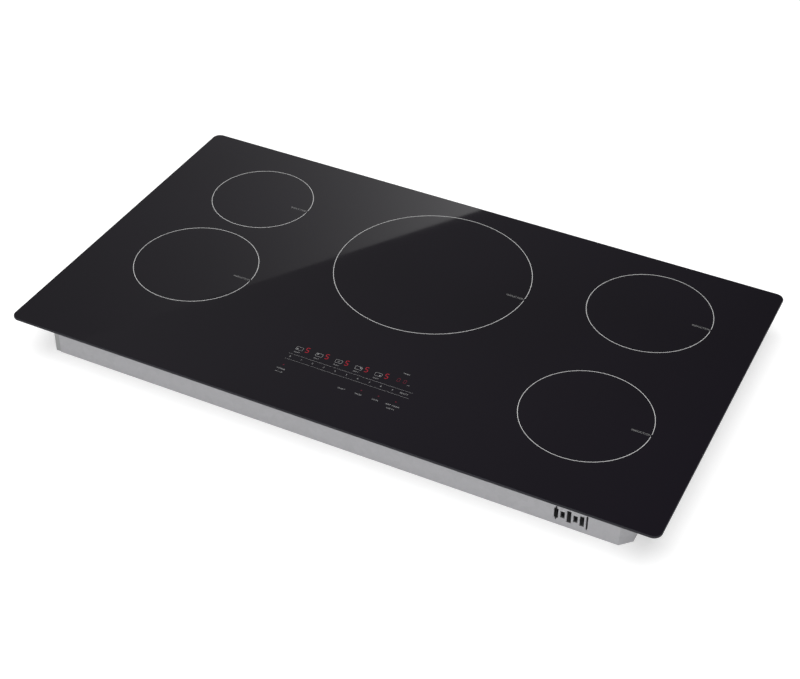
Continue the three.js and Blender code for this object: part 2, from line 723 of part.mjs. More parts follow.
/** The scroll in plan, or one a wall's thickness inside it with its mouth drawn out past the end. */
function scrollOutline(inset) {
  const points = [];
  const steps = 22;
  for (let i = 0; i <= steps; i++) {
    const share = i / steps;
    const angle = SCROLL_START - share * (2 * Math.PI + SCROLL_START);
    const radius = scrollStartRadius + SCROLL_GROWTH * share - inset;
    points.push([radius * Math.cos(angle), radius * Math.sin(angle)]);
  }
  const mouth = -OUTLET_LENGTH - 2 * inset;
  points.push([scrollEndRadius - inset, mouth], [outletInner + inset, mouth]);
  // The inner side of the outlet rises to the start of the scroll.
  points[0][0] = outletInner + inset;
  return polygon(points.reverse());
}

function blowerHousing() {
  const shell = cut(
    solid(slab(scrollOutline(0), BLOWER_HEIGHT)),
    solid(slab(scrollOutline(BLOWER_WALL), BLOWER_HEIGHT - 2 * BLOWER_WALL, BLOWER_WALL)),
    solid(bar(BLOWER_INTAKE_RADIUS, 2 * BLOWER_WALL + CLEAR, 0, 0, -BLOWER_WALL, 20)),
  );
  const motorBottom = BLOWER_HEIGHT - BLOWER_WALL - BLOWER_MOTOR_HEIGHT;
  const motor = bar(BLOWER_MOTOR_RADIUS, BLOWER_MOTOR_HEIGHT + BLOWER_WALL / 2, 0, 0, motorBottom, 16);
  const pinBottom = motorBottom / 2;
  const pin = bar(BLOWER_PIN_RADIUS, BLOWER_HEIGHT - BLOWER_WALL / 2 - pinBottom, 0, 0, pinBottom, 12);
  return geometryOf(join(shell, solid(motor), solid(pin)));
}

/** A plate with forward-leaning blades below it and a ring round their lower ends. */
function impeller() {
  const low = BLOWER_WALL + IMPELLER_RUNNING_GAP;
  const top = BLOWER_HEIGHT - BLOWER_WALL - BLOWER_MOTOR_HEIGHT - IMPELLER_RUNNING_GAP / 2;
  const bladeReach = IMPELLER_BLADE.chord * Math.cos(IMPELLER_BLADE.lean);
  const bladeMiddle = IMPELLER_RADIUS - bladeReach / 2 - IMPELLER_BLADE.thickness;
  const plate = bar(IMPELLER_RADIUS, IMPELLER_PLATE, 0, 0, top - IMPELLER_PLATE, 40);
  const rimOutside = [
    [IMPELLER_RADIUS, low],
    [IMPELLER_RADIUS, low + IMPELLER_PLATE],
  ];
  const rim = turnedTube(IMPELLER_RADIUS - bladeReach, rimOutside, 40);
  const blades = Array.from({ length: IMPELLER_BLADES }, (_, i) => {
    const blade = block(IMPELLER_BLADE.chord, IMPELLER_BLADE.thickness, top - low - IMPELLER_PLATE);
    blade.rotateZ(IMPELLER_BLADE.lean).translate(bladeMiddle, 0, low + IMPELLER_PLATE / 2);
    return solid(blade.rotateZ((i * 2 * Math.PI) / IMPELLER_BLADES));
  });
  const hub = bar(IMPELLER_HUB_RADIUS, (top - low) / 2, 0, 0, (top + low) / 2, 16);
  const bore = bar(BLOWER_PIN_RADIUS + CLEAR, BLOWER_HEIGHT, 0, 0, 0, 16);
  return geometryOf(cut(join(solid(plate), solid(rim), solid(hub), ...blades), solid(bore)));
}

/** A three-sided channel over the heat sink, from the blower's mouth to the vents. */
function airDuct(length) {
  const outer = outletWidth / 2;
  const inner = outer - DUCT_WALL;
  const top = ductHeight;
  const channel = polygon([
    [-outer, 0],
    [-inner, 0],
    [-inner, top - DUCT_WALL],
    [inner, top - DUCT_WALL],
    [inner, 0],
    [outer, 0],
    [outer, top],
    [-outer, top],
  ]);
  return drawnOut(channel, length);
}

/** A finned extrusion, fins up. */
function heatSink() {
  const half = HEATSINK_WIDTH / 2;
  const pitch = (HEATSINK_WIDTH - HEATSINK_FIN) / (HEATSINK_FINS - 1);
  const points = [
    [-half, 0],
    [half, 0],
  ];
  for (let i = HEATSINK_FINS - 1; i >= 0; i--) {
    const left = -half + i * pitch;
    const right = left + HEATSINK_FIN;
    points.push([right, heatSinkHeight], [left, heatSinkHeight]);
    if (i > 0) points.push([left, HEATSINK_BASE], [left - pitch + HEATSINK_FIN, HEATSINK_BASE]);
  }
  return drawnOut(polygon(points), heatSinkLength);
}

/** A board with its larger components, each a box in from a corner of the board. */
function populatedBoard(width, depth, components) {
  const sheet = solid(block(width, depth, BOARD_SHEET));
  const parts = components.map((c) =>
    solid(
      block(
        c.width,
        c.depth,
        c.height + BOARD_SHEET / 2,
        -width / 2 + c.x + c.width / 2,
        -depth / 2 + c.y + c.depth / 2,
        BOARD_SHEET / 2,
      ),
    ),
  );
  return geometryOf(join(sheet, ...parts));
}

// Components beside the heat sink, in two columns from the front of the board to its back.
const INVERTER_COLUMNS = [
  {
    x: 8,
    parts: [
      { width: 26, depth: 18, height: 20 }, // film capacitors
      { width: 26, depth: 18, height: 20 },
      { width: 32, depth: 28, height: 24 }, // input choke
      { width: 22, depth: 30, height: 16 }, // relays
      { width: 22, depth: 30, height: 16 },
    ],
  },
  {
    x: 50,
    parts: [
      { width: 14, depth: 20, height: 12 }, // coil terminals
      { width: 14, depth: 20, height: 12 },
      { width: 16, depth: 34, height: 9 }, // controller
    ],
  },
];

/** Components of a board's columns, spread evenly over its depth. */
function spreadOut(columns, boardDepth) {
  return columns.flatMap(({ x, parts }) => {
    const used = parts.reduce((sum, part) => sum + part.depth, 0);
    const gap = (boardDepth - used) / (parts.length + 1);
    let y = 0;
    return parts.map((part) => {
      const placed = { ...part, x, y: y + gap };
      y = placed.y + part.depth;
      return placed;
    });
  });
}

/** One side's blower, duct, heat sink and board, drawn on the right and turned for the left. */
function powerSide(side) {
  const group = new THREE.Group();
  group.rotation.z = side.turn;
  group.position.y = side.y;
  const blowerZ = PAN_SHEET + SEAT;
  const mouthY = blowerY - OUTLET_LENGTH - CLEAR;
  const ductStart = panFront + LAP_STEP + PAN_SHEET + CLEAR;
  const heatSinkStart = inverterY - heatSinkLength / 2;
  group.add(
    piece(`blower_housing_${side.name}`, blowerHousing(), "plastic", blowerX, blowerY, blowerZ),
    piece(`blower_impeller_${side.name}`, impeller(), "pale_plastic", blowerX, blowerY, blowerZ),
    piece(`air_duct_${side.name}`, airDuct(mouthY - ductStart), "plastic", ventX, ductStart, boardTop + SEAT),
    piece(`heat_sink_${side.name}`, heatSink(), "aluminium", ventX, heatSinkStart, boardTop + SEAT),
    piece(
      `inverter_board_${side.name}`,
      populatedBoard(INVERTER_WIDTH, inverterDepth, spreadOut(INVERTER_COLUMNS, inverterDepth)),
      "circuit",
      inverterX,
      inverterY,
      boardBottom,
    ),
  );
  return group;
}

// ---------------------------------------------------------------------------------------------------
// Supply and filter
// ---------------------------------------------------------------------------------------------------

// Components of the filter board, clear of the choke and the capacitor that stand on it.
const FILTER_COMPONENTS = [
  { x: 12, y: 62, width: 30, depth: 20, height: 22 }, // film capacitor
  { x: 100, y: 60, width: 34, depth: 26, height: 14 }, // connectors
];

/** The wound ring core that keeps switching noise off the mains. */
function filterChoke() {
  const round = CHOKE_HEIGHT / 4;
  return turnedTube(
    CHOKE_EYE_RADIUS,
    [
      [CHOKE_RADIUS - round, 0],
      [CHOKE_RADIUS, round],
      [CHOKE_RADIUS, CHOKE_HEIGHT - round],
      [CHOKE_RADIUS - round, CHOKE_HEIGHT],
    ],
    24,
  );
}

/** A block with a screw pocket for each wire. */
function terminalBlock() {
  const body = solid(block(TERMINAL_WIDTH, TERMINAL_DEPTH, TERMINAL_HEIGHT));
  const pitch = TERMINAL_WIDTH / TERMINAL_WAYS;
  const pockets = Array.from({ length: TERMINAL_WAYS }, (_, i) =>
    solid(
      block(
        pitch - TERMINAL_RIB,
        TERMINAL_DEPTH - TERMINAL_RIB,
        TERMINAL_HEIGHT,
        (i + 0.5) * pitch - TERMINAL_WIDTH / 2,
        TERMINAL_RIB,
        TERMINAL_HEIGHT / 2,
      ),
    ),
  );
  return geometryOf(cut(body, ...pockets));
}

/** The plate over the window in the back wall, with a hole for the fitting. */
function terminalCover() {
  const plate = solid(block(COVER_WIDTH, COVER_SHEET, coverHeight, 0, 0, -coverHeight / 2));
  const radius = CONDUIT_THREAD_RADIUS + CLEAR;
  const hole = solid(new THREE.CylinderGeometry(radius, radius, 2 * CUT_REACH, 20));
  const screwHoles = coverScrewXs.map((x) => screwHole("y", x - SUPPLY_X, 0, 0));
  return geometryOf(cut(plate, hole, ...screwHoles));
}

/** The tube that the supply conduit is clamped in: thread, flange and body, along +Z. */
function conduitFitting() {
  const body = CONDUIT_FLANGE + CONDUIT_BODY_LENGTH;
  return turnedTube(
    CONDUIT_BORE_RADIUS,
    [
      [CONDUIT_THREAD_RADIUS, -CONDUIT_THREAD_LENGTH],
      [CONDUIT_THREAD_RADIUS, 0],
      [CONDUIT_FLANGE_RADIUS, 0],
      [CONDUIT_FLANGE_RADIUS, CONDUIT_FLANGE],
      [CONDUIT_BODY_RADIUS, CONDUIT_FLANGE],
      [CONDUIT_BODY_RADIUS, body],
    ],
    20,
  );
}

/** A six-sided nut, with a flat along each side of the window it stands in. */
function locknut() {
  const corner = locknutFlat / Math.cos(Math.PI / 6);
  const hexagon = solid(bar(corner, LOCKNUT_THICKNESS, 0, 0, 0, 6).rotateZ(Math.PI / 6));
  const radius = CONDUIT_THREAD_RADIUS + SHANK_CLEAR;
  const bore = solid(bar(radius, 2 * CUT_REACH, 0, 0, -CUT_REACH, 20));
  return geometryOf(cut(hexagon, bore));
}

function supply() {
  const group = new THREE.Group();
  const coverY = panBack + SEAT + COVER_SHEET / 2;
  const outerFace = coverY + COVER_SHEET / 2;
  const innerFace = coverY - COVER_SHEET / 2;
  const fitting = piece("conduit_fitting", conduitFitting(), "zinc", SUPPLY_X, outerFace + SEAT);
  fitting.position.z = supplyHeight;
  fitting.rotation.x = -Math.PI / 2;
  const nut = piece("conduit_locknut", locknut(), "zinc", SUPPLY_X, innerFace - SEAT, supplyHeight);
  nut.rotation.x = Math.PI / 2;
  group.add(
    fitting,
    nut,
    piece("terminal_cover", terminalCover(), "steel", SUPPLY_X, coverY, supplyHeight),
    piece(
      "terminal_block",
      terminalBlock(),
      "pale_plastic",
      SUPPLY_X,
      panBack - TERMINAL_SETBACK,
      PAN_SHEET + SEAT,
    ),
    piece(
      "filter_board",
      populatedBoard(FILTER_WIDTH, FILTER_DEPTH, FILTER_COMPONENTS),
      "circuit",
      FILTER_OFFSET,
      filterY,
      boardBottom,
    ),
    piece(
      "filter_choke",
      filterChoke(),
      "copper",
      FILTER_OFFSET - FILTER_WIDTH / 2 + CHOKE_RADIUS + CHOKE_INSET.x,
      filterY - FILTER_DEPTH / 2 + CHOKE_RADIUS + CHOKE_INSET.y,
      boardTop + SEAT,
    ),
    piece(
      "filter_capacitor",
      bar(CAPACITOR_RADIUS, capacitorLength, 0, 0, 0, 20),
      "capacitor",
      FILTER_OFFSET + FILTER_WIDTH / 2 - CAPACITOR_RADIUS - CAPACITOR_INSET.x,
      filterY - FILTER_DEPTH / 2 + CAPACITOR_RADIUS + CAPACITOR_INSET.y,
      boardTop + SEAT,
    ),
  );
  return group;
}

// ---------------------------------------------------------------------------------------------------
// Controls
// ---------------------------------------------------------------------------------------------------

const controlBoardTop = glassBottom - SEAT - DISPLAY_HEIGHT - SEAT;
const controlBoardBottom = controlBoardTop - BOARD_SHEET;

/** A shallow open box on four legs that holds the touch board up under the glass. */
function controlBracket() {
  const floorZ = controlBoardBottom - SEAT - CONTROL_WALL;
  const outer = block(
    CONTROL_WIDTH + 2 * (CONTROL_WALL + CLEAR),
    CONTROL_DEPTH + 2 * (CONTROL_WALL + CLEAR),
    glassBottom - SEAT - floorZ,
    0,
    0,
    floorZ,
  );
  const inner = block(
    CONTROL_WIDTH + 2 * CLEAR,
    CONTROL_DEPTH + 2 * CLEAR,
    glassBottom,
    0,
    0,
    floorZ + CONTROL_WALL,
  );
  const legs = [-1, 1].flatMap((sx) =>
    [-1, 1].map((sy) =>
      solid(
        block(
          CONTROL_LEG,
          CONTROL_LEG,
          floorZ + CONTROL_WALL / 2 - trayTop - SEAT,
          (sx * (CONTROL_WIDTH - CONTROL_LEG)) / 2,
          (sy * (CONTROL_DEPTH - CONTROL_LEG)) / 2,
          trayTop + SEAT,
        ),
      ),
    ),
  );
  return geometryOf(join(cut(solid(outer), solid(inner)), ...legs));
}

function controls() {
  const group = new THREE.Group();
  const displayY = controlY + DISPLAY_OFFSET;
  group.add(
    piece("control_bracket", controlBracket(), "plastic", 0, controlY),
    piece(
      "control_board",
      block(CONTROL_WIDTH, CONTROL_DEPTH, BOARD_SHEET, 0, 0, controlBoardBottom),
      "circuit",
      0,
      controlY,
    ),
    piece(
      "display_module",
      block(DISPLAY_WIDTH, DISPLAY_DEPTH, DISPLAY_HEIGHT, 0, 0, controlBoardTop + SEAT),
      "display",
      0,
      displayY,
    ),
  );
  return group;
}

// ---------------------------------------------------------------------------------------------------
// Screws
// ---------------------------------------------------------------------------------------------------

/** A pan-head screw along +Z, with the underside of its head at z = 0 and a cross in its head. */
function screw() {
  const body = turned(
    [
      [0, -SCREW_LENGTH],
      [SCREW_RADIUS, -SCREW_LENGTH],
      [SCREW_RADIUS, 0],
      [SCREW_HEAD_RADIUS, 0],
      [SCREW_HEAD_RADIUS, SCREW_HEAD_HEIGHT / 2],
      [SCREW_HEAD_RADIUS * 0.7, SCREW_HEAD_HEIGHT],
      [0, SCREW_HEAD_HEIGHT],
    ],
    10,
  );
  const { width, length, depth } = SCREW_RECESS;
  const recessZ = SCREW_HEAD_HEIGHT - depth;
  return geometryOf(
    cut(
      solid(body),
      solid(block(width, length, 2 * depth, 0, 0, recessZ)),
      solid(block(length, width, 2 * depth, 0, 0, recessZ)),
    ),
  );
}

/** A screw in a wall that faces +X, -X or +Y. */
function screwAt(name, facing, x, y, z) {
  const mesh = piece(name, screw(), "zinc", x, y, z);
  if (facing === "+x") mesh.rotation.y = Math.PI / 2;
  if (facing === "-x") mesh.rotation.y = -Math.PI / 2;
  if (facing === "+y") mesh.rotation.x = -Math.PI / 2;
  return mesh;
}

function screws() {
  const group = new THREE.Group();
  sideScrewYs.forEach((y, i) => {
    group.add(screwAt(`pan_screw_left_${i + 1}`, "-x", panLeft - SEAT, y, screwZ));
    group.add(screwAt(`pan_screw_right_${i + 1}`, "+x", panRight + SEAT, y, screwZ));
  });
  backScrewXs.forEach((x, i) => {
    group.add(screwAt(`pan_screw_back_${i + 1}`, "+y", x, panBack + SEAT, screwZ));
  });
  coverScrewXs.forEach((x, i) => {
    const y = panBack + SEAT + COVER_SHEET + SEAT;
    group.add(screwAt(`cover_screw_${i + 1}`, "+y", x, y, supplyHeight));
  });
  return group;
}

// ---------------------------------------------------------------------------------------------------
// The cooktop
// ---------------------------------------------------------------------------------------------------

const cooktop = new THREE.Group();
cooktop.add(
  piece("glass_top", glassTop(), "glass", 0, 0, glassBottom),
  piece("perimeter_seal", perimeterSeal(), "foam", 0, 0, glassBottom - SEAT - SEAL_THICKNESS),
  piece("glass_bead", glassBead(), "silicone", 0, 0, flangeTop + SEAT),
  piece("support_frame", supportFrame(), "steel"),
  piece("bottom_pan", bottomPan(), "steel"),
  piece("coil_tray", coilTray(), "aluminium"),
  ...ZONES.map(coilStack),
  ...SIDES.map(powerSide),
  supply(),
  controls(),
  screws(),
);

export default cooktop;
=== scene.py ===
"""Looks of a built-in electric induction cooktop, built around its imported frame.

The glass and its marks, the foam seal, the coils, the impeller wheels, the entry fitting, the choke, the
capacitor and the screws are surfaces worked out here. The sheet-metal, ferrite and moulded pieces and the
boards are the frame's own shapes with their edges rounded over. Everything is in metres, in the frame's own
axes: +X to the cook's right, +Y to the back of the worktop, +Z up.
"""

import logging
import math
from dataclasses import dataclass, field
from enum import Enum
from typing import Callable, Sequence

import bmesh
import bpy
import numpy as np
from mathutils import Matrix, Vector
from numpy.typing import NDArray


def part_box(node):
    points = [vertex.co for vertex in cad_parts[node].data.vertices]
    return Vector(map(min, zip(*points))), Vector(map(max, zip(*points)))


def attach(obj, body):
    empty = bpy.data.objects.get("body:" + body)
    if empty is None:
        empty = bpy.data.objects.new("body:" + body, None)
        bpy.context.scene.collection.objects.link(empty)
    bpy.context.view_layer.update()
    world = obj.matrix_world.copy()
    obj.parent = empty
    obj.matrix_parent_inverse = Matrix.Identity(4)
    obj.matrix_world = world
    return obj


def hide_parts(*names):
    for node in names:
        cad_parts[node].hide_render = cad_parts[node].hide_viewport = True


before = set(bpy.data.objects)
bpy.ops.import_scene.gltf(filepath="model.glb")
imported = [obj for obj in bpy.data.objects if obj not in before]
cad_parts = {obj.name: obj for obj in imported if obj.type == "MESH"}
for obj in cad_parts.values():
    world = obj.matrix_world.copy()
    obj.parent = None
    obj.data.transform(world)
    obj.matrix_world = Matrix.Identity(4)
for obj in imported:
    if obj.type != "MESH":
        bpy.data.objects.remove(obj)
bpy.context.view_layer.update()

MM = 0.001

Grid = NDArray[np.float64]
Colour = tuple[float, float, float]
Stops = Sequence[tuple[float, Colour]]
Socket = bpy.types.NodeSocket

log = logging.getLogger("cooktop")


class Body(Enum):
    """The frame's moving bodies."""

    COOKTOP = "cooktop"
    LEFT = "impeller_left"
    RIGHT = "impeller_right"


class Slot(Enum):
    """The record's material slots."""

    GLASS = "glass"
    FOAM = "foam"
    SILICONE = "silicone"
    STEEL = "steel"
    ALUMINIUM = "aluminium"
    FERRITE = "ferrite"
    COPPER = "copper"
    MICA = "mica"
    SENSOR = "sensor"
    CIRCUIT = "circuit"
    PLASTIC = "plastic"
    PALE_PLASTIC = "pale_plastic"
    CAPACITOR = "capacitor"
    DISPLAY = "display"
    ZINC = "zinc"


# ---- Finishes ----


class Recipe:
    """A material while it is being made: its node tree and the shader at the end of it."""

    def __init__(self, name: str) -> None:
        """Starts a material with a bare shader.

        Args:
            name: what the material is called.
        """
        self.material = bpy.data.materials.new(name)
        self.material.use_nodes = True
        self.nodes = self.material.node_tree.nodes
        self.links = self.material.node_tree.links
        self.shader = self.nodes["Principled BSDF"]

    def node(self, kind: str, **values: object) -> bpy.types.Node:
        """Adds a node and sets its own properties.

        Args:
            kind: the node's Blender type.
            values: property names and what they are set to.

        Returns:
            The new node.
        """
        made = self.nodes.new(kind)
        for key, value in values.items():
            setattr(made, key, value)
        return made

    def feed(self, node: bpy.types.Node, **inputs: object) -> bpy.types.Node:
        """Sets or links a node's sockets, named with underscores for spaces.

        Args:
            node: the node to feed.
            inputs: a socket to link from, or a plain value, for each input.

        Returns:
            The same node.
        """
        for key, value in inputs.items():
            socket = node.inputs[key.replace("_", " ")]
            if isinstance(value, Socket):
                self.links.new(value, socket)
            elif hasattr(value, "__len__") and len(value) == 3 and len(socket.default_value) == 4:
                socket.default_value = (*value, 1.0)
            else:
                socket.default_value = value
        return node

    def place(self, scale: Colour = (1, 1, 1), turn: float = 0.0) -> Socket:
        """Object coordinates, turned about Z and scaled.

        Args:
            scale: how much each axis is stretched.
            turn: angle about Z, in radians.

        Returns:
            The vector socket.
        """
        source = self.node("ShaderNodeTexCoord").outputs["Object"]
        mapping = self.node("ShaderNodeMapping")
        return self.feed(mapping, Vector=source, Rotation=(0, 0, turn), Scale=scale).outputs["Vector"]

    def noise(self, vector: Socket, scale: float, detail: float = 3.0, rough: float = 0.5) -> Socket:
        """Fractal noise from 0 to 1.

        Args:
            vector: the coordinates it is read at.
            scale: its features are about 1/scale metres across.
            detail: how many finer layers it has.
            rough: how strong the finer layers are.

        Returns:
            The value socket.
        """
        made = self.feed(
            self.node("ShaderNodeTexNoise"), Vector=vector, Scale=scale, Detail=detail, Roughness=rough
        )
        return made.outputs["Fac"]

    def cells(self, vector: Socket, scale: float) -> Socket:
        """A grey value for each cell of a random mosaic.

        Args:
            vector: the coordinates it is read at.
            scale: its cells are about 1/scale metres across.

        Returns:
            The value socket.
        """
        made = self.feed(self.node("ShaderNodeTexVoronoi"), Vector=vector, Scale=scale)
        grey = self.feed(self.node("ShaderNodeSeparateColor"), Color=made.outputs["Color"])
        return grey.outputs["Red"]

    def spread(
        self, value: Socket, low: float, high: float, start: float = 0.0, end: float = 1.0
    ) -> Socket:
        """Maps start..end onto low..high, and holds it there outside.

        Args:
            value: the socket to map.
            low: result at start.
            high: result at end.
            start: value that gives low.
            end: value that gives high.

        Returns:
            The mapped socket.
        """
        made = self.feed(self.node("ShaderNodeMapRange"), Value=value)
        for key, number in (("From Min", start), ("From Max", end), ("To Min", low), ("To Max", high)):
            made.inputs[key].default_value = number
        return made.outputs["Result"]

    def ramp(self, value: Socket, stops: Stops) -> Socket:
        """A colour for each value, blended between stops.

        Args:
            value: the socket that picks the colour.
            stops: positions and colours, in order.

        Returns:
            The colour socket.
        """
        made = self.feed(self.node("ShaderNodeValToRGB"), Fac=value)
        elements = made.color_ramp.elements
        while len(elements) < len(stops):
            elements.new(0.5)
        for element, (position, colour) in zip(elements, stops):
            element.position = position
            element.color = (*colour, 1.0)
        return made.outputs["Color"]

    def combine(self, how: str, first: object, second: object = 0.0) -> Socket:
        """One or two values through a Math node's operation.

        Args:
            how: the operation's Blender name.
            first: a socket or a number.
            second: another, where the operation takes two.

        Returns:
            The value socket.
        """
        made = self.node("ShaderNodeMath", operation=how)
        for socket, value in zip(made.inputs, (first, second)):
            if isinstance(value, Socket):
                self.links.new(value, socket)
            else:
                socket.default_value = value
        return made.outputs["Value"]

    def blend(self, *shares: tuple[Socket, float]) -> Socket:
        """The sum of some values, each times its share.

        Args:
            shares: the values and their shares.

        Returns:
            The value socket.
        """
        total, share = shares[0]
        total = self.combine("MULTIPLY", total, share)
        for value, share in shares[1:]:
            total = self.combine("ADD", total, self.combine("MULTIPLY", value, share))
        return total

    def bump(self, height: Socket, distance: float) -> None:
        """Raises the surface, on top of any bump already there.

        Args:
            height: how far it is raised, from 0 to 1.
            distance: the rise at 1, in metres.
        """
        made = self.feed(self.node("ShaderNodeBump"), Height=height, Distance=distance, Strength=1.0)
        before = self.shader.inputs["Normal"].links
        if before:
            self.links.new(before[0].from_socket, made.inputs["Normal"])
        self.links.new(made.outputs["Normal"], self.shader.inputs["Normal"])

    def finish(self, **inputs: object) -> None:
        """Sets or links the shader's own sockets."""
        self.feed(self.shader, **inputs)


def shade(colour: Colour, amount: float) -> Colour:
    """A colour made lighter or darker by a factor."""
    return tuple(min(1.0, channel * amount) for channel in colour)


@dataclass(frozen=True)
class Finish:
    """How one kind of surface looks.

    Attributes:
        name: what the finish is called.
        slot: the record's slot that it belongs to.
        colour: the middle of its colour range, linear.
        roughness: the middle of its roughness range.
        metallic: 1 for bare metal, 0 for everything else.
        specular: how strongly it shines apart from metal, 0.5 for most things.
    """

    name: str
    slot: Slot
    colour: Colour
    roughness: float
    metallic: float = 0.0
    specular: float = 0.5

    def material(self) -> bpy.types.Material:
        """Makes the material the first time, and gives the same one after that.

        Returns:
            The material.
        """
        made = bpy.data.materials.get(self.name)
        if made is None:
            recipe = Recipe(self.name)
            recipe.finish(Metallic=self.metallic, Specular_IOR_Level=self.specular)
            self.detail(recipe)
            made = recipe.material
        return made

    def detail(self, recipe: Recipe) -> None:
        """Adds colour, roughness and relief. Each finish has its own.

        Args:
            recipe: the material being made.
        """
        raise NotImplementedError

    def tones(self, recipe: Recipe, value: Socket, *stops: tuple[float, float]) -> None:
        """Colours the surface in shades of the finish's own colour.

        Args:
            recipe: the material being made.
            value: the socket that picks the shade.
            stops: positions, and how light the shade is at each, in order.
        """
        shades = [(position, shade(self.colour, amount)) for position, amount in stops]
        recipe.finish(Base_Color=recipe.ramp(value, shades))

    def gloss(
        self, recipe: Recipe, value: Socket, less: float, more: float, start: float = 0.0, end: float = 1.0
    ) -> None:
        """Spreads the roughness about the finish's own.

        Args:
            recipe: the material being made.
            value: the socket that picks the roughness.
            less: how far below its own it starts.
            more: how far above its own it ends.
            start: value that gives the lowest.
            end: value that gives the highest.
        """
        low, high = self.roughness - less, self.roughness + more
        recipe.finish(Roughness=recipe.spread(value, low, high, start, end))


@dataclass(frozen=True)
class Moulded(Finish):
    """Moulded plastic, rubber, foam or ceramic with a fine grain and slow patches of tone.

    Attributes:
        grain: size of the grain, in metres.
        relief: height of the grain, in metres.
        mottle: how far the colour wanders, as a share.
    """

    grain: float = 0.0006
    relief: float = 0.00002
    mottle: float = 0.15

    def detail(self, recipe: Recipe) -> None:
        """Grain from fine noise, with slow patches of colour and roughness.

        Args:
            recipe: the material being made.
        """
        place = recipe.place()
        patches = recipe.noise(place, 18.0, 4.0)
        grain = recipe.noise(place, 1.0 / self.grain, 2.0)
        self.tones(recipe, patches, (0.3, 1 - self.mottle), (0.7, 1 + self.mottle))
        self.gloss(recipe, patches, 0.06, 0.06, 0.3, 0.7)
        recipe.bump(grain, self.relief)


@dataclass(frozen=True)
class Metal(Finish):
    """Bare or plated metal with rolling or brushing lines.

    Attributes:
        lines: how much finer the marks are across each axis. Uneven numbers draw them out into lines.
        relief: depth of the lines, in metres.
    """

    lines: Colour = (1.0, 12.0, 12.0)
    relief: float = 0.000006

    def detail(self, recipe: Recipe) -> None:
        """Fine noise, drawn out, for the lines, and broad noise for handling marks.

        Args:
            recipe: the material being made.
        """
        lines = recipe.noise(recipe.place(scale=self.lines), 60.0, 5.0, 0.65)
        marks = recipe.noise(recipe.place(), 14.0, 4.0)
        mixed = recipe.blend((lines, 0.55), (marks, 0.45))
        self.tones(recipe, mixed, (0.35, 0.86), (0.65, 1.1))
        self.gloss(recipe, mixed, 0.08, 0.1, 0.35, 0.65)
        recipe.bump(lines, self.relief)


@dataclass(frozen=True)
class Galvanised(Finish):
    """Zinc-coated sheet with its spangle.

    Attributes:
        spangle: size of the crystals, in metres.
    """

    spangle: float = 0.008

    def detail(self, recipe: Recipe) -> None:
        """Crystals from two random mosaics, softened by noise, with a dull bloom and faint rolling lines.

        Args:
            recipe: the material being made.
        """
        place = recipe.place()
        crystals = recipe.cells(place, 1.0 / self.spangle)
        fine = recipe.cells(place, 2.7 / self.spangle)
        bloom = recipe.noise(place, 9.0, 5.0)
        mixed = recipe.blend((crystals, 0.4), (fine, 0.2), (bloom, 0.4))
        self.tones(recipe, mixed, (0.25, 0.93), (0.75, 1.05))
        self.gloss(recipe, mixed, 0.07, 0.1, 0.25, 0.75)
        recipe.bump(recipe.noise(recipe.place(scale=(1, 8, 8)), 90.0, 3.0), 0.000008)
        recipe.bump(crystals, 0.000004)


@dataclass(frozen=True)
class PolishedGlass(Finish):
    """Black glass ceramic: a mirror with the faintest wiping marks and specks."""

    def detail(self, recipe: Recipe) -> None:
        """Wiping marks from drawn-out noise change the roughness, slow noise the tint, fine noise the relief.

        Args:
            recipe: the material being made.
        """
        wipes = recipe.noise(recipe.place(scale=(1.0, 3.5, 1.0), turn=0.5), 7.0, 6.0, 0.6)
        tint = recipe.noise(recipe.place(), 3.0, 2.0)
        specks = recipe.noise(recipe.place(), 900.0, 1.0)
        self.tones(recipe, tint, (0.3, 0.85), (0.7, 1.15))
        low, high = self.roughness * 0.7, self.roughness * 1.6
        recipe.finish(Roughness=recipe.spread(wipes, low, high, 0.35, 0.75), IOR=1.52)
        recipe.bump(specks, 0.0000004)


@dataclass(frozen=True)
class Printed(Finish):
    """Fired enamel ink, slightly uneven in how much it covers."""

    def detail(self, recipe: Recipe) -> None:
        """Fine noise wears the ink, and coarse noise varies its strength.

        Args:
            recipe: the material being made.
        """
        cover = recipe.noise(recipe.place(), 1400.0, 2.0)
        broad = recipe.noise(recipe.place(), 25.0, 2.0)
        mixed = recipe.blend((cover, 0.5), (broad, 0.5))
        self.tones(recipe, mixed, (0.3, 0.86), (0.7, 1.1))
        self.gloss(recipe, cover, 0.1, 0.1)
        recipe.bump(cover, 0.000002)


@dataclass(frozen=True)
class Lit(Finish):
    """A light-emitting segment seen through the glass, as bright as its colour."""

    def detail(self, recipe: Recipe) -> None:
        """A dark diffuser's fine grain over an even glow.

        Args:
            recipe: the material being made.
        """
        grain = recipe.noise(recipe.place(), 1600.0, 2.0)
        self.tones(recipe, grain, (0.3, 0.03), (0.7, 0.06))
        self.gloss(recipe, grain, 0.08, 0.08)
        recipe.finish(Emission_Color=self.colour, Emission_Strength=1.0)


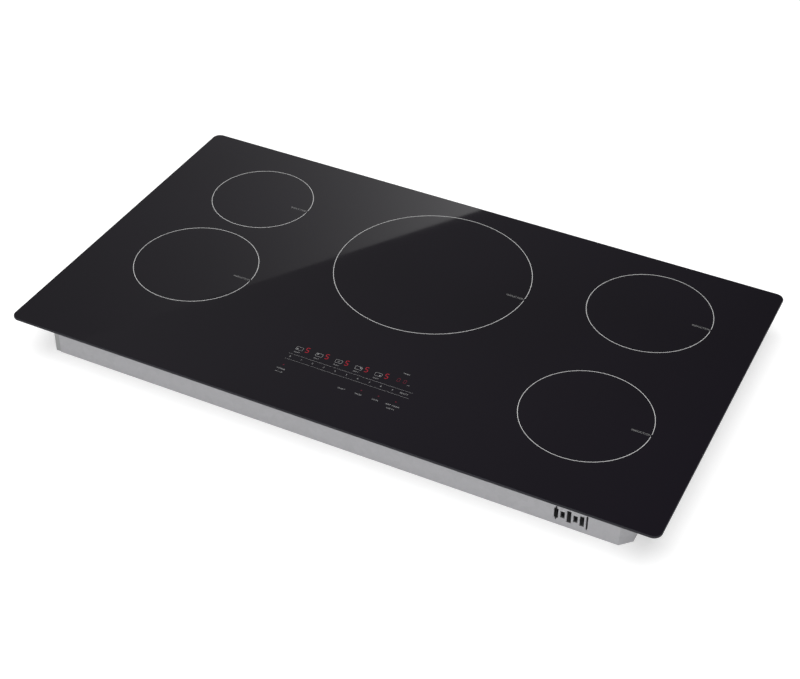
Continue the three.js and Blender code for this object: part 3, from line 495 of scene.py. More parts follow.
@dataclass(frozen=True)
class Stranded(Finish):
    """Enamelled copper strands twisted into a cord, on a piece with a UV map along and around it.

    Attributes:
        strands: strands across the cord's face.
        lay: how far along the cord a strand goes half round it, in metres.
    """

    strands: float = 7.0
    lay: float = 0.02

    def detail(self, recipe: Recipe) -> None:
        """Slanted bands in the UV map, one for each strand, darker in the grooves between strands as painted
        shade and lighter on their crowns as a painted highlight.

        Their height is sin(pi times strands times (along over lay + twice around)), without its sign.

        Args:
            recipe: the material being made.
        """
        chart = recipe.node("ShaderNodeUVMap").outputs["UV"]
        parts = recipe.feed(recipe.node("ShaderNodeSeparateXYZ"), Vector=chart)
        along = recipe.combine("MULTIPLY", parts.outputs["X"], 1.0 / self.lay)
        around = recipe.combine("MULTIPLY", parts.outputs["Y"], 2.0)
        turns = recipe.combine("MULTIPLY", recipe.combine("ADD", along, around), self.strands * math.pi)
        wave = recipe.combine("ABSOLUTE", recipe.combine("SINE", turns))
        tone = recipe.noise(recipe.place(), 160.0, 3.0)
        mixed = recipe.combine("MULTIPLY", wave, recipe.spread(tone, 0.6, 1.0))
        # Painted shade and highlight: the tone follows the wave, dark in the grooves between strands and
        # light on their crowns.
        self.tones(recipe, mixed, (0.05, 0.3), (0.5, 1.0), (1.0, 1.35))
        self.gloss(recipe, tone, 0.1, 0.1, 0.3, 0.7)
        recipe.bump(wave, 0.00018)


@dataclass(frozen=True)
class Laminated(Finish):
    """Mica board: thin flakes pressed flat."""

    def detail(self, recipe: Recipe) -> None:
        """Overlapping mosaics give the flakes their tones and their edges.

        Args:
            recipe: the material being made.
        """
        place = recipe.place()
        flakes = recipe.cells(place, 90.0)
        chips = recipe.cells(place, 420.0)
        mixed = recipe.blend((flakes, 0.6), (chips, 0.4))
        self.tones(recipe, mixed, (0.1, 0.7), (0.6, 1.0), (0.95, 1.4))
        self.gloss(recipe, chips, 0.2, 0.12)
        recipe.bump(mixed, 0.00004)


@dataclass(frozen=True)
class SolderMask(Finish):
    """A circuit board: lacquer over copper tracks, with bare pads.

    Attributes:
        track: about the spacing of the pads, and a third of that of the tracks' squares, in metres.
        pad: colour of a bare pad.
    """

    track: float = 0.004
    pad: Colour = (0.55, 0.54, 0.5)

    def detail(self, recipe: Recipe) -> None:
        """Tracks follow squares about a mosaic's points, and round pads sit at the points of a finer one.

        Args:
            recipe: the material being made.
        """
        place = recipe.place()
        squares = recipe.feed(recipe.node("ShaderNodeTexVoronoi"), Vector=place, Scale=1 / (3 * self.track))
        squares.distance = "CHEBYCHEV"
        squares = recipe.combine("PINGPONG", squares.outputs["Distance"], 0.33)
        lacquer = recipe.noise(place, 40.0, 3.0)
        raised = recipe.spread(squares, 1.0, 0.0, 0.12, 0.2)
        pads = recipe.feed(recipe.node("ShaderNodeTexVoronoi"), Vector=place, Scale=0.9 / self.track)
        bare = recipe.spread(pads.outputs["Distance"], 1.0, 0.0, 0.1, 0.13)
        tone = recipe.combine("MAXIMUM", recipe.blend((raised, 0.35), (lacquer, 0.2)), bare)
        stops = [(at, shade(self.colour, amount)) for at, amount in ((0.0, 0.8), (0.5, 1.7), (0.85, 2.0))]
        recipe.finish(Base_Color=recipe.ramp(tone, [*stops, (0.95, self.pad)]))
        self.gloss(recipe, lacquer, 0.1, 0.1, 0.3, 0.7)
        recipe.bump(recipe.combine("MAXIMUM", raised, bare), 0.00005)


BLACK_GLASS = PolishedGlass("black_glass", Slot.GLASS, (0.0040, 0.0028, 0.0057), 0.03)
GROUND_EDGE = Moulded("ground_edge", Slot.GLASS, (0.023, 0.023, 0.027), 0.5, specular=0.1, relief=0.00001)
RING_PRINT = Printed("ring_print", Slot.GLASS, (0.48, 0.48, 0.48), 0.42)
WORD_PRINT = Printed("word_print", Slot.GLASS, (0.19, 0.19, 0.19), 0.45)
PANEL_PRINT = Printed("panel_print", Slot.GLASS, (0.25, 0.25, 0.253), 0.45)
RED_DIGIT = Lit("red_digit", Slot.DISPLAY, (0.36, 0.008, 0.022), 0.4)
RED_POINT = Lit("red_point", Slot.DISPLAY, (0.1, 0.004, 0.016), 0.4)
SEAL_FOAM = Moulded("seal_foam", Slot.FOAM, (0.01, 0.01, 0.011), 0.9, specular=0.15, relief=0.00012)
BEAD_SILICONE = Moulded("bead_silicone", Slot.SILICONE, (0.02, 0.02, 0.022), 0.5, grain=0.004, relief=0.0001)
SHEET_STEEL = Galvanised("galvanised_sheet", Slot.STEEL, (0.41, 0.408, 0.424), 0.5, 0.3)
# The side wall's tab: the same galvanised sheet painted darker, as painted shade for the step where it sits
# behind the front panel.
TAB_PAINTED_SHADE = Galvanised("folded_tab_painted_shade", Slot.STEEL, (0.32, 0.326, 0.326), 0.5, 0.3)
SEAM_SHADOW = Moulded("seam_shadow", Slot.STEEL, (0.03, 0.03, 0.032), 0.6, relief=0.00001)
BARE_ALUMINIUM = Metal("bare_aluminium", Slot.ALUMINIUM, (0.72, 0.73, 0.74), 0.34, 1.0)
FERRITE = Moulded("sintered_ferrite", Slot.FERRITE, (0.045, 0.045, 0.05), 0.6, grain=0.0004, relief=0.00003)
LITZ_COPPER = Stranded("stranded_copper", Slot.COPPER, (0.6, 0.25, 0.1), 0.36, 0.85)
CORE_POWDER = Moulded("core_powder", Slot.COPPER, (0.03, 0.08, 0.05), 0.5, grain=0.0008, relief=0.00004)
MICA_BOARD = Laminated("mica_board", Slot.MICA, (0.42, 0.33, 0.2), 0.5)
SENSOR_CERAMIC = Moulded("sensor_ceramic", Slot.SENSOR, (0.78, 0.76, 0.7), 0.35, grain=0.0005, mottle=0.06)
GREEN_BOARD = SolderMask("green_board", Slot.CIRCUIT, (0.02, 0.105, 0.045), 0.34)
BLACK_MOULDING = Moulded("black_moulding", Slot.PLASTIC, (0.018, 0.018, 0.02), 0.46)
PALE_MOULDING = Moulded("pale_moulding", Slot.PALE_PLASTIC, (0.62, 0.61, 0.56), 0.42, mottle=0.05)
GREY_MOULDING = Moulded("grey_moulding", Slot.CIRCUIT, (0.2, 0.21, 0.22), 0.4)
YELLOW_FILM = Moulded("yellow_film", Slot.CIRCUIT, (0.6, 0.33, 0.03), 0.32, grain=0.002)
BLUE_SLEEVE = Moulded("blue_sleeve", Slot.CAPACITOR, (0.02, 0.045, 0.2), 0.3, grain=0.002, relief=0.00002)
RED_WINDOW = Moulded("red_window", Slot.DISPLAY, (0.07, 0.006, 0.009), 0.2, grain=0.003, relief=0.00001)
ZINC_PLATE = Metal("zinc_plate", Slot.ZINC, (0.62, 0.63, 0.64), 0.3, 1.0, lines=(6.0, 6.0, 6.0))


# ---- Surfaces ----


@dataclass
class Shell:
    """One or more closed surfaces that make a piece.

    Attributes:
        points: the points of each surface.
        faces: the numbers of each face's points.
        charts: distance along and share round for each corner of the faces, where a finish follows them.
        count: how many points there are so far.
    """

    points: list[Grid] = field(default_factory=list)
    faces: list[list[int]] = field(default_factory=list)
    charts: list[Grid] = field(default_factory=list)
    count: int = 0

    def add_grid(
        self, grid: Grid, path_closed: bool, section_closed: bool, chart: Grid | None = None
    ) -> "Shell":
        """Joins a grid of points with four-sided faces, and closes its open ends with flat caps.

        Point (i, j) is joined to (i+1, j), (i+1, j+1) and (i, j+1). A closed direction wraps round.

        Args:
            grid: points, one row for each step along the path and one column for each step of the section.
            path_closed: whether the last row joins the first.
            section_closed: whether the last column joins the first.
            chart: distance along the path and share round the section for each point, with one column more
                than the grid, where a finish follows the surface.

        Returns:
            The shell itself.
        """
        rows, columns = grid.shape[:2]
        index = np.arange(rows * columns).reshape(rows, columns) + self.count
        if path_closed:
            index = np.vstack([index, index[:1]])
        if section_closed:
            index = np.hstack([index, index[:, :1]])
        self.faces += corners_of(index).reshape(-1, 4).tolist()
        caps = 2 * columns if section_closed and not path_closed else 0
        if caps:
            self.faces += [index[0, :-1].tolist(), index[-1, -2::-1].tolist()]
        flat = np.zeros((4 * (index.shape[0] - 1) * (index.shape[1] - 1), 2))
        self.charts.append(flat if chart is None else corners_of(chart).reshape(-1, 2))
        self.charts.append(np.zeros((caps, 2)))
        self.points.append(grid.reshape(-1, 3))
        self.count += rows * columns
        return self

    def add_prism(self, outline: Grid, low: float, high: float) -> "Shell":
        """A flat outline in plan, drawn up from one height to another.

        Args:
            outline: x and y of each corner, in order.
            low: height of its underside.
            high: height of its top.

        Returns:
            The shell itself.
        """
        flat = np.broadcast_to(outline, (2, *outline.shape))
        heights = np.broadcast_to(np.array([[low], [high]]), flat.shape[:2])
        return self.add_grid(np.dstack([flat, heights]), False, True)

    def add_turned(
        self, profile: Grid, steps: int, centre: Sequence[float], section_closed: bool = True
    ) -> "Shell":
        """A profile turned about an upright axis, as in turned().

        Args:
            profile: radius and height of each point.
            steps: points round the turn.
            centre: where the axis stands.
            section_closed: whether the profile joins up. If not, it starts and ends on the axis.

        Returns:
            The shell itself.
        """
        return self.add_grid(turned(profile, steps, centre), True, section_closed)

    def build(self, name: str, *finishes: Finish, sharp: float = 40.0) -> bpy.types.Object:
        """Makes the mesh: doubles merged, faces turned outwards, edges past an angle kept sharp.

        Args:
            name: the piece's name.
            finishes: its finishes, the first one all over.
            sharp: angle in degrees past which an edge isn't smoothed.

        Returns:
            The new object, at the origin.
        """
        mesh = bpy.data.meshes.new(name)
        mesh.from_pydata(np.concatenate(self.points).tolist(), [], self.faces)
        chart = np.concatenate(self.charts)
        if chart.any():
            mesh.uv_layers.new(name="UVMap").data.foreach_set("uv", chart.astype(np.float32).ravel())
        tidy_mesh(mesh)
        dress(mesh, sharp, *finishes)
        return placed(name, mesh)

    def fitted(
        self, name: str, finish: Finish, *nodes: str, body: Body = Body.COOKTOP, sharp: float = 40.0
    ) -> bpy.types.Object:
        """Makes the piece in one finish and fits it.

        Args:
            name: the piece's name.
            finish: its finish.
            nodes: the frame's nodes it replaces.
            body: the body it rides on.
            sharp: angle in degrees past which an edge isn't smoothed.

        Returns:
            The new piece.
        """
        return fit(self.build(name, finish, sharp=sharp), finish, *nodes, body=body)


def placed(name: str, data: bpy.types.ID) -> bpy.types.Object:
    """Puts a mesh, curve, light or camera in the scene, at the origin.

    Args:
        name: the object's name.
        data: what it holds.

    Returns:
        The new object.
    """
    made = bpy.data.objects.new(name, data)
    bpy.context.scene.collection.objects.link(made)
    return made


def dress(mesh: bpy.types.Mesh, sharp: float, *finishes: Finish) -> None:
    """Smooths a mesh between its sharp edges and gives it its finishes.

    Args:
        mesh: the mesh.
        sharp: angle in degrees past which an edge isn't smoothed.
        finishes: its finishes, the first one all over.
    """
    mesh.shade_smooth()
    mesh.set_sharp_from_angle(angle=math.radians(sharp))
    for finish in finishes:
        mesh.materials.append(finish.material())


def corners_of(values: NDArray) -> NDArray:
    """Gathers each cell's corners.

    Args:
        values: a grid of values.

    Returns:
        For each cell of the grid, the values at its four corners in turn.
    """
    corners = (values[:-1, :-1], values[1:, :-1], values[1:, 1:], values[:-1, 1:])
    return np.stack(corners, axis=2)


def tidy_mesh(mesh: bpy.types.Mesh, flatten: bool = False) -> None:
    """Merges doubles, drops collapsed faces and turns the rest outwards.

    Args:
        mesh: the mesh to tidy.
        flatten: whether triangles in one plane are joined into one face.
    """
    work = bmesh.new()
    work.from_mesh(mesh)
    bmesh.ops.remove_doubles(work, verts=work.verts, dist=2e-7)
    bmesh.ops.dissolve_degenerate(work, edges=work.edges, dist=1e-7)
    if flatten:
        bmesh.ops.dissolve_limit(
            work, angle_limit=math.radians(0.6), verts=work.verts, edges=work.edges, delimit={"MATERIAL"}
        )
    bmesh.ops.recalc_face_normals(work, faces=work.faces)
    work.to_mesh(mesh)
    work.free()


def rounded_rectangle(width: float, depth: float, radius: float, steps: int = 10) -> Grid:
    """The outline of a rectangle with round corners, anticlockwise about the origin.

    Each corner is an arc: its centre plus radius times (cos a, sin a), with a going through a quarter turn.

    Args:
        width: size along X.
        depth: size along Y.
        radius: the corners' radius.
        steps: points on each arc, less one.

    Returns:
        x and y of each point.
    """
    quarter = np.linspace(0, math.pi / 2, steps + 1)
    angles = np.arange(4)[:, None] * math.pi / 2 + quarter
    signs = np.array([[1, 1], [-1, 1], [-1, -1], [1, -1]])[:, None, :]
    middles = signs * np.array([width / 2 - radius, depth / 2 - radius])
    return (middles + radius * np.dstack([np.cos(angles), np.sin(angles)])).reshape(-1, 2)


def arc(radius: float, start: float, end: float, steps: int) -> Grid:
    """Points on a circle about the origin: radius times (cos a, sin a).

    Args:
        radius: the circle's.
        start: first angle, in radians.
        end: last angle.
        steps: points on it, less one.

    Returns:
        x and y of each point.
    """
    angles = np.linspace(start, end, steps + 1)
    return radius * np.column_stack([np.cos(angles), np.sin(angles)])


def disc(radius: float, sides: int) -> Grid:
    """The outline of a round spot about the origin."""
    return arc(radius, 0, 2 * math.pi, sides)[:-1]


def outward(outline: Grid, closed: bool = True) -> Grid:
    """The way out of an outline at each point: its smoothed direction turned a quarter turn clockwise.

    At a corner the arrow is lengthened, so that both sides of the corner move out by the same distance.

    Args:
        outline: x and y along the path.
        closed: whether the path joins up.

    Returns:
        x and y of each arrow.
    """
    if closed:
        ahead, behind = np.roll(outline, -1, axis=0) - outline, outline - np.roll(outline, 1, axis=0)
    else:
        steps = np.diff(outline, axis=0)
        ahead, behind = np.vstack([steps, steps[-1:]]), np.vstack([steps[:1], steps])
    ahead /= np.linalg.norm(ahead, axis=1, keepdims=True)
    behind /= np.linalg.norm(behind, axis=1, keepdims=True)
    middle = ahead + behind
    middle /= np.linalg.norm(middle, axis=1, keepdims=True)
    length = 1.0 / np.maximum(np.sum(middle * ahead, axis=1), 0.5)
    return np.column_stack([middle[:, 1], -middle[:, 0]]) * length[:, None]


def carried(outline: Grid, profile: Grid, closed: bool = True) -> Grid:
    """A profile carried round an outline in plan.

    Point (i, j) is outline point i, moved out by the profile's first number and up to its second.

    Args:
        outline: x and y along the path.
        profile: distance out and height, for each point of the section.
        closed: whether the path joins up.

    Returns:
        The grid of points.
    """
    plan = outline[:, None, :] + outward(outline, closed)[:, None, :] * profile[None, :, :1]
    heights = np.broadcast_to(profile[None, :, 1:], (*plan.shape[:2], 1))
    return np.concatenate([plan, heights], axis=2)


def rounded(wave: Grid) -> Grid:
    """A wave from -1 to 1 pushed out towards its ends, which squares a circle's corners off."""
    return np.sign(wave) * np.abs(wave) ** 0.45


def turned(profile: Grid, steps: int, centre: Sequence[float] = (0.0, 0.0)) -> Grid:
    """A profile turned about an upright axis: (radius cos a, radius sin a, height) for a full turn of a.

    Args:
        profile: radius and height of each point.
        steps: points round the turn.
        centre: where the axis stands.

    Returns:
        The grid of points.
    """
    angles = np.linspace(0, 2 * math.pi, steps, endpoint=False)[:, None]
    radii = profile[None, :, 0]
    heights = np.broadcast_to(profile[None, :, 1], (steps, len(profile)))
    return np.dstack([centre[0] + radii * np.cos(angles), centre[1] + radii * np.sin(angles), heights])


def unit(vectors: Grid) -> Grid:
    """The same arrows, each one long."""
    return vectors / np.linalg.norm(vectors, axis=-1, keepdims=True)


def cord(path: Grid, guide: Grid, across: float, up: float, sides: int = 10) -> tuple[Grid, Grid]:
    """An oval section carried along a path in space.

    Point (i, j) is path point i plus across times cos(a) along one arrow and up times sin(a) along another.
    Both arrows stand square to the path, and the second leans as near as it can to the guide.

    Args:
        path: points along the middle.
        guide: the way up, at each point or all along.
        across: half the section's width.
        up: half its height.
        sides: facets round the section.

    Returns:
        The grid of points, and its chart of distance along and share round.
    """
    ahead = unit(np.gradient(path, axis=0))
    rise = unit(guide - ahead * np.sum(guide * ahead, axis=1, keepdims=True))
    side = np.cross(rise, ahead)
    a = np.linspace(0, 2 * math.pi, sides, endpoint=False)[:, None]
    ring = side[:, None, :] * (across * np.cos(a)) + rise[:, None, :] * (up * np.sin(a))
    lengths = np.concatenate([[0.0], np.cumsum(np.linalg.norm(np.diff(path, axis=0), axis=1))])
    chart = np.dstack(np.broadcast_arrays(lengths[:, None], np.linspace(0, 1, sides + 1)[None, :]))
    return path[:, None, :] + ring, chart


def aimed(grid: Grid, place: Sequence[float], axis: Sequence[float]) -> Grid:
    """Turns a grid that is drawn about +Z to point along another axis, and moves it to its place.

    Args:
        grid: the points.
        place: where the origin goes.
        axis: where +Z points.

    Returns:
        The grid of points.
    """
    turn = np.array(Vector((0, 0, 1)).rotation_difference(Vector(axis)).to_matrix())
    return grid @ turn.T + np.array(place)


def tone_by(mesh: bpy.types.Mesh, choose: Callable[[Grid, Grid], NDArray]) -> None:
    """Gives each face one of its mesh's finishes.

    Args:
        mesh: the mesh.
        choose: from the faces' middles and normals, the number of each face's finish.
    """
    faces = mesh.polygons
    middles, normals = np.empty(len(faces) * 3), np.empty(len(faces) * 3)
    faces.foreach_get("center", middles)
    faces.foreach_get("normal", normals)
    chosen = choose(middles.reshape(-1, 3), normals.reshape(-1, 3))
    faces.foreach_set("material_index", np.asarray(chosen, dtype=np.int32))


def softened(node: str, name: str, radius: float, finish: Finish) -> bpy.types.Object:
    """The frame's own shape with its edges rounded over, fitted in its node's place.

    Args:
        node: the frame's node.
        name: the new piece's name.
        radius: of the rounded edges, in metres.
        finish: its finish.

    Returns:
        The new piece.
    """
    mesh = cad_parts[node].data.copy()
    mesh.name = name
    tidy_mesh(mesh, flatten=True)
    mesh.materials.clear()
    dress(mesh, 30, finish)
    made = placed(name, mesh)
    rounding = made.modifiers.new("rounded_edges", "BEVEL")
    rounding.width = radius
    rounding.segments = 2
    rounding.limit_method = "ANGLE"
    rounding.angle_limit = math.radians(40)
    rounding.use_clamp_overlap = True
    rounding.harden_normals = True
    return fit(made, finish, node)


def fit(piece: bpy.types.Object, finish: Finish, *nodes: str, body: Body = Body.COOKTOP) -> bpy.types.Object:
    """Rides a piece on its body, hides the frame's nodes it replaces and logs what it stands for.

    Args:
        piece: the finished piece.
        finish: its main finish. Not used.
        nodes: the frame's nodes it replaces.
        body: the body it rides on.

    Returns:
        The same piece.
    """
    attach(piece, body.value)
    if nodes:
        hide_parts(*nodes)
    log.info("%s: %d faces, replaces %s", piece.name, len(piece.data.polygons), ", ".join(nodes) or "nothing")
    return piece


def measured(node: str) -> tuple[Vector, Vector, Vector]:
    """The lowest corner, the highest corner and the middle of a frame node's box."""
    low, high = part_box(node)
    return low, high, (low + high) / 2


def lettering(text: str, height: float, thickness: float) -> bpy.types.Mesh:
    """A word as a mesh lying flat, centred on the origin, with its underside at zero.

    Args:
        text: the word.
        height: of its capitals.
        thickness: of the ink.

    Returns:
        The mesh.
    """
    curve = bpy.data.curves.new("lettering", "FONT")
    curve.body = text
    curve.size = height / 0.7
    curve.extrude = thickness / 2
    curve.resolution_u = 3
    curve.align_x = "CENTER"
    curve.align_y = "CENTER"
    holder = placed("lettering", curve)
    made = bpy.data.meshes.new_from_object(holder.evaluated_get(bpy.context.evaluated_depsgraph_get()))
    bpy.data.objects.remove(holder)
    bpy.data.curves.remove(curve)
    made.transform(Matrix.Translation((0, 0, thickness / 2)))
    return made


# ---- Glass, seal and bead ----


@dataclass
class GlassTop:
    """The glass sheet, the foam under its edge and the bead that bonds it.

    Attributes:
        corner: radius of the sheet's corners.
        edge: radius of the ground edge.
        seal_inset: from the edge of the sheet to the foam.
        seal_width: of the foam.
        seal_step: most between two sections of the foam.
    """

    corner: float = 12 * MM
    edge: float = 1.5 * MM
    seal_inset: float = 3 * MM
    seal_width: float = 10 * MM
    seal_step: float = 6 * MM

    def build(self) -> None:
        """Builds and dresses the sheet, the seal and the bead, which keeps the frame's own shape."""
        self.sheet()
        self.seal()
        softened("glass_bead", "silicone_bead", 0.3 * MM, BEAD_SILICONE)

    def sheet(self) -> None:
        """The sheet: a half-round edge profile carried round the outline, closed to a point in each face.

        The profile runs from the middle of the underside, out and round the edge, to the middle of the top.
        On the edge it is (radius (cos a - 1), radius sin a) above and below a short upright land. Both faces
        stay flat and black, and the slopes between them are smooth and ground.
        """
        low, high, _ = measured("glass_top")
        outline = rounded_rectangle(high.x - low.x, high.y - low.y, self.corner, 14)
        angles = np.linspace(0, math.pi / 2, 7)
        curve = self.edge * np.column_stack([np.cos(angles) - 1, np.sin(angles)])
        upper = curve + [0, high.z - self.edge]
        lower = (curve * [1, -1])[::-1] + [0, low.z + self.edge]
        rim = carried(outline, np.vstack([lower, upper]))
        middles = np.zeros((len(outline), 1, 3))
        grid = np.concatenate([middles + [0, 0, low.z], rim, middles + [0, 0, high.z]], axis=1)
        piece = Shell().add_grid(grid, True, False).build("glass_sheet", BLACK_GLASS, GROUND_EDGE, sharp=50)
        tone_by(piece.data, lambda _, normals: np.abs(normals[:, 2]) < 0.9)
        faces = piece.data.polygons
        tones = np.empty(len(faces), dtype=np.int32)
        faces.foreach_get("material_index", tones)
        faces.foreach_set("use_smooth", tones == 1)
        fit(piece, BLACK_GLASS, "glass_top")

    def seal(self) -> None:
        """The foam strip: a squashed round section carried round inside the edge.

        The section is half its width times cos a and half its thickness times sin a, after rounded() has
        pushed both waves out.
        """
        low, high, _ = measured("perimeter_seal")
        wide, thick = self.seal_width / 2, (high.z - low.z) / 2
        outline = rounded_rectangle(high.x - low.x, high.y - low.y, self.corner - self.seal_inset)
        a = np.linspace(0, 2 * math.pi, 20, endpoint=False)
        section = rounded(np.column_stack([np.cos(a), np.sin(a)]))
        profile = section * [wide, thick] + [-wide, low.z + thick]
        grid = carried(subdivided(outline, self.seal_step), profile)
        Shell().add_grid(grid, True, True).fitted("foam_seal", SEAL_FOAM, "perimeter_seal")


def subdivided(outline: Grid, longest: float) -> Grid:
    """The same closed outline with extra points.

    Args:
        outline: x and y of each corner.
        longest: no side is longer than this.

    Returns:
        x and y of each point.
    """
    ends = np.roll(outline, -1, axis=0)
    pieces = np.maximum(1, np.ceil(np.linalg.norm(ends - outline, axis=1) / longest)).astype(int)
    start = np.repeat(outline, pieces, axis=0)
    step = np.repeat((ends - outline) / pieces[:, None], pieces, axis=0)
    order = np.arange(pieces.sum()) - np.repeat(np.cumsum(pieces) - pieces, pieces)
    return start + step * order[:, None]


# ---- Printed marks ----


@dataclass
class Print:
    """Ink on the glass, gathered into one piece.

    Attributes:
        name: the piece's name.
        finish: its ink.
        ink: thickness of the ink.
        shell: the lines and patches gathered so far.
        words: the words gathered so far.
    """

    name: str
    finish: Finish
    ink: float = 0.03 * MM
    shell: Shell = field(default_factory=Shell)
    words: list[bpy.types.Mesh] = field(default_factory=list)

    @property
    def low(self) -> float:
        """Height of the ink's underside, on the glass."""
        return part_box("glass_top")[1].z + 0.01 * MM

    def stroke(self, path: Grid, width: float, closed: bool = False) -> None:
        """A line of even width: a flat rectangular section carried along a path.

        Args:
            path: x and y along the middle of the line.
            width: of the line.
            closed: whether the line joins up.
        """
        half, low, top = width / 2, self.low, self.low + self.ink
        profile = np.array([[-half, low], [half, low], [half, top], [-half, top]])
        self.shell.add_grid(carried(path, profile, closed), closed, True)

    def line(self, start: Sequence[float], end: Sequence[float], width: float) -> None:
        """A straight line between two points."""
        self.stroke(np.array([start, end], dtype=float), width)

    def patch(self, outline: Grid) -> None:
        """A filled outline."""
        self.shell.add_prism(outline, self.low, self.low + self.ink)

    def word(self, text: str, x: float, y: float, height: float) -> None:
        """A word centred on a point.

        Args:
            text: the word.
            x: its middle, across.
            y: its middle, front to back.
            height: of its capitals.
        """
        mesh = lettering(text, height, self.ink)
        mesh.transform(Matrix.Translation((x, y, self.low)))
        self.words.append(mesh)

    def build(self) -> bpy.types.Object:
        """Makes the piece from everything gathered.

        Returns:
            The new piece.
        """
        work = bmesh.new()
        if self.shell.count:
            made = self.shell.build(self.name, self.finish)
            work.from_mesh(made.data)
        else:
            made = placed(self.name, bpy.data.meshes.new(self.name))
            made.data.materials.append(self.finish.material())
        for mesh in self.words:
            work.from_mesh(mesh)
            bpy.data.meshes.remove(mesh)
        bmesh.ops.remove_doubles(work, verts=work.verts, dist=1e-8)
        bmesh.ops.recalc_face_normals(work, faces=work.faces)
        work.to_mesh(made.data)
        work.free()
        return fit(made, self.finish)


@dataclass
class CookingZones:
    """The rings and words that mark the zones.

    Attributes:
        line: width of a ring's line.
        gap: half the opening in each ring, where its word begins.
        cap: height of the word's capitals.
        reach: from the ring to the middle of its word.
        radii: each zone and its ring's radius.
    """

    line: float = 0.85 * MM
    gap: float = 2.3 * MM
    cap: float = 3.3 * MM
    reach: float = 13.5 * MM
    radii: tuple[tuple[str, float], ...] = (
        ("left_rear", 75 * MM),
        ("left_front", 87.5 * MM),
        ("center", 140 * MM),
        ("right_rear", 87.5 * MM),
        ("right_front", 87.5 * MM),
    )

    def build(self) -> None:
        """Builds a ring and a word for each zone, over its winding."""
        for name, radius in self.radii:
            middle = measured(f"coil_winding_{name}")[2]
            opening = self.gap / radius
            path = arc(radius, opening, 2 * math.pi - opening, 180) + [middle.x, middle.y]
            ring = Print(f"zone_ring_{name}", RING_PRINT)
            ring.stroke(path, self.line)
            ring.build()
            word = Print(f"zone_word_{name}", WORD_PRINT)
            word.word("INDUCTION", middle.x + radius - self.reach, middle.y, self.cap)
            word.build()


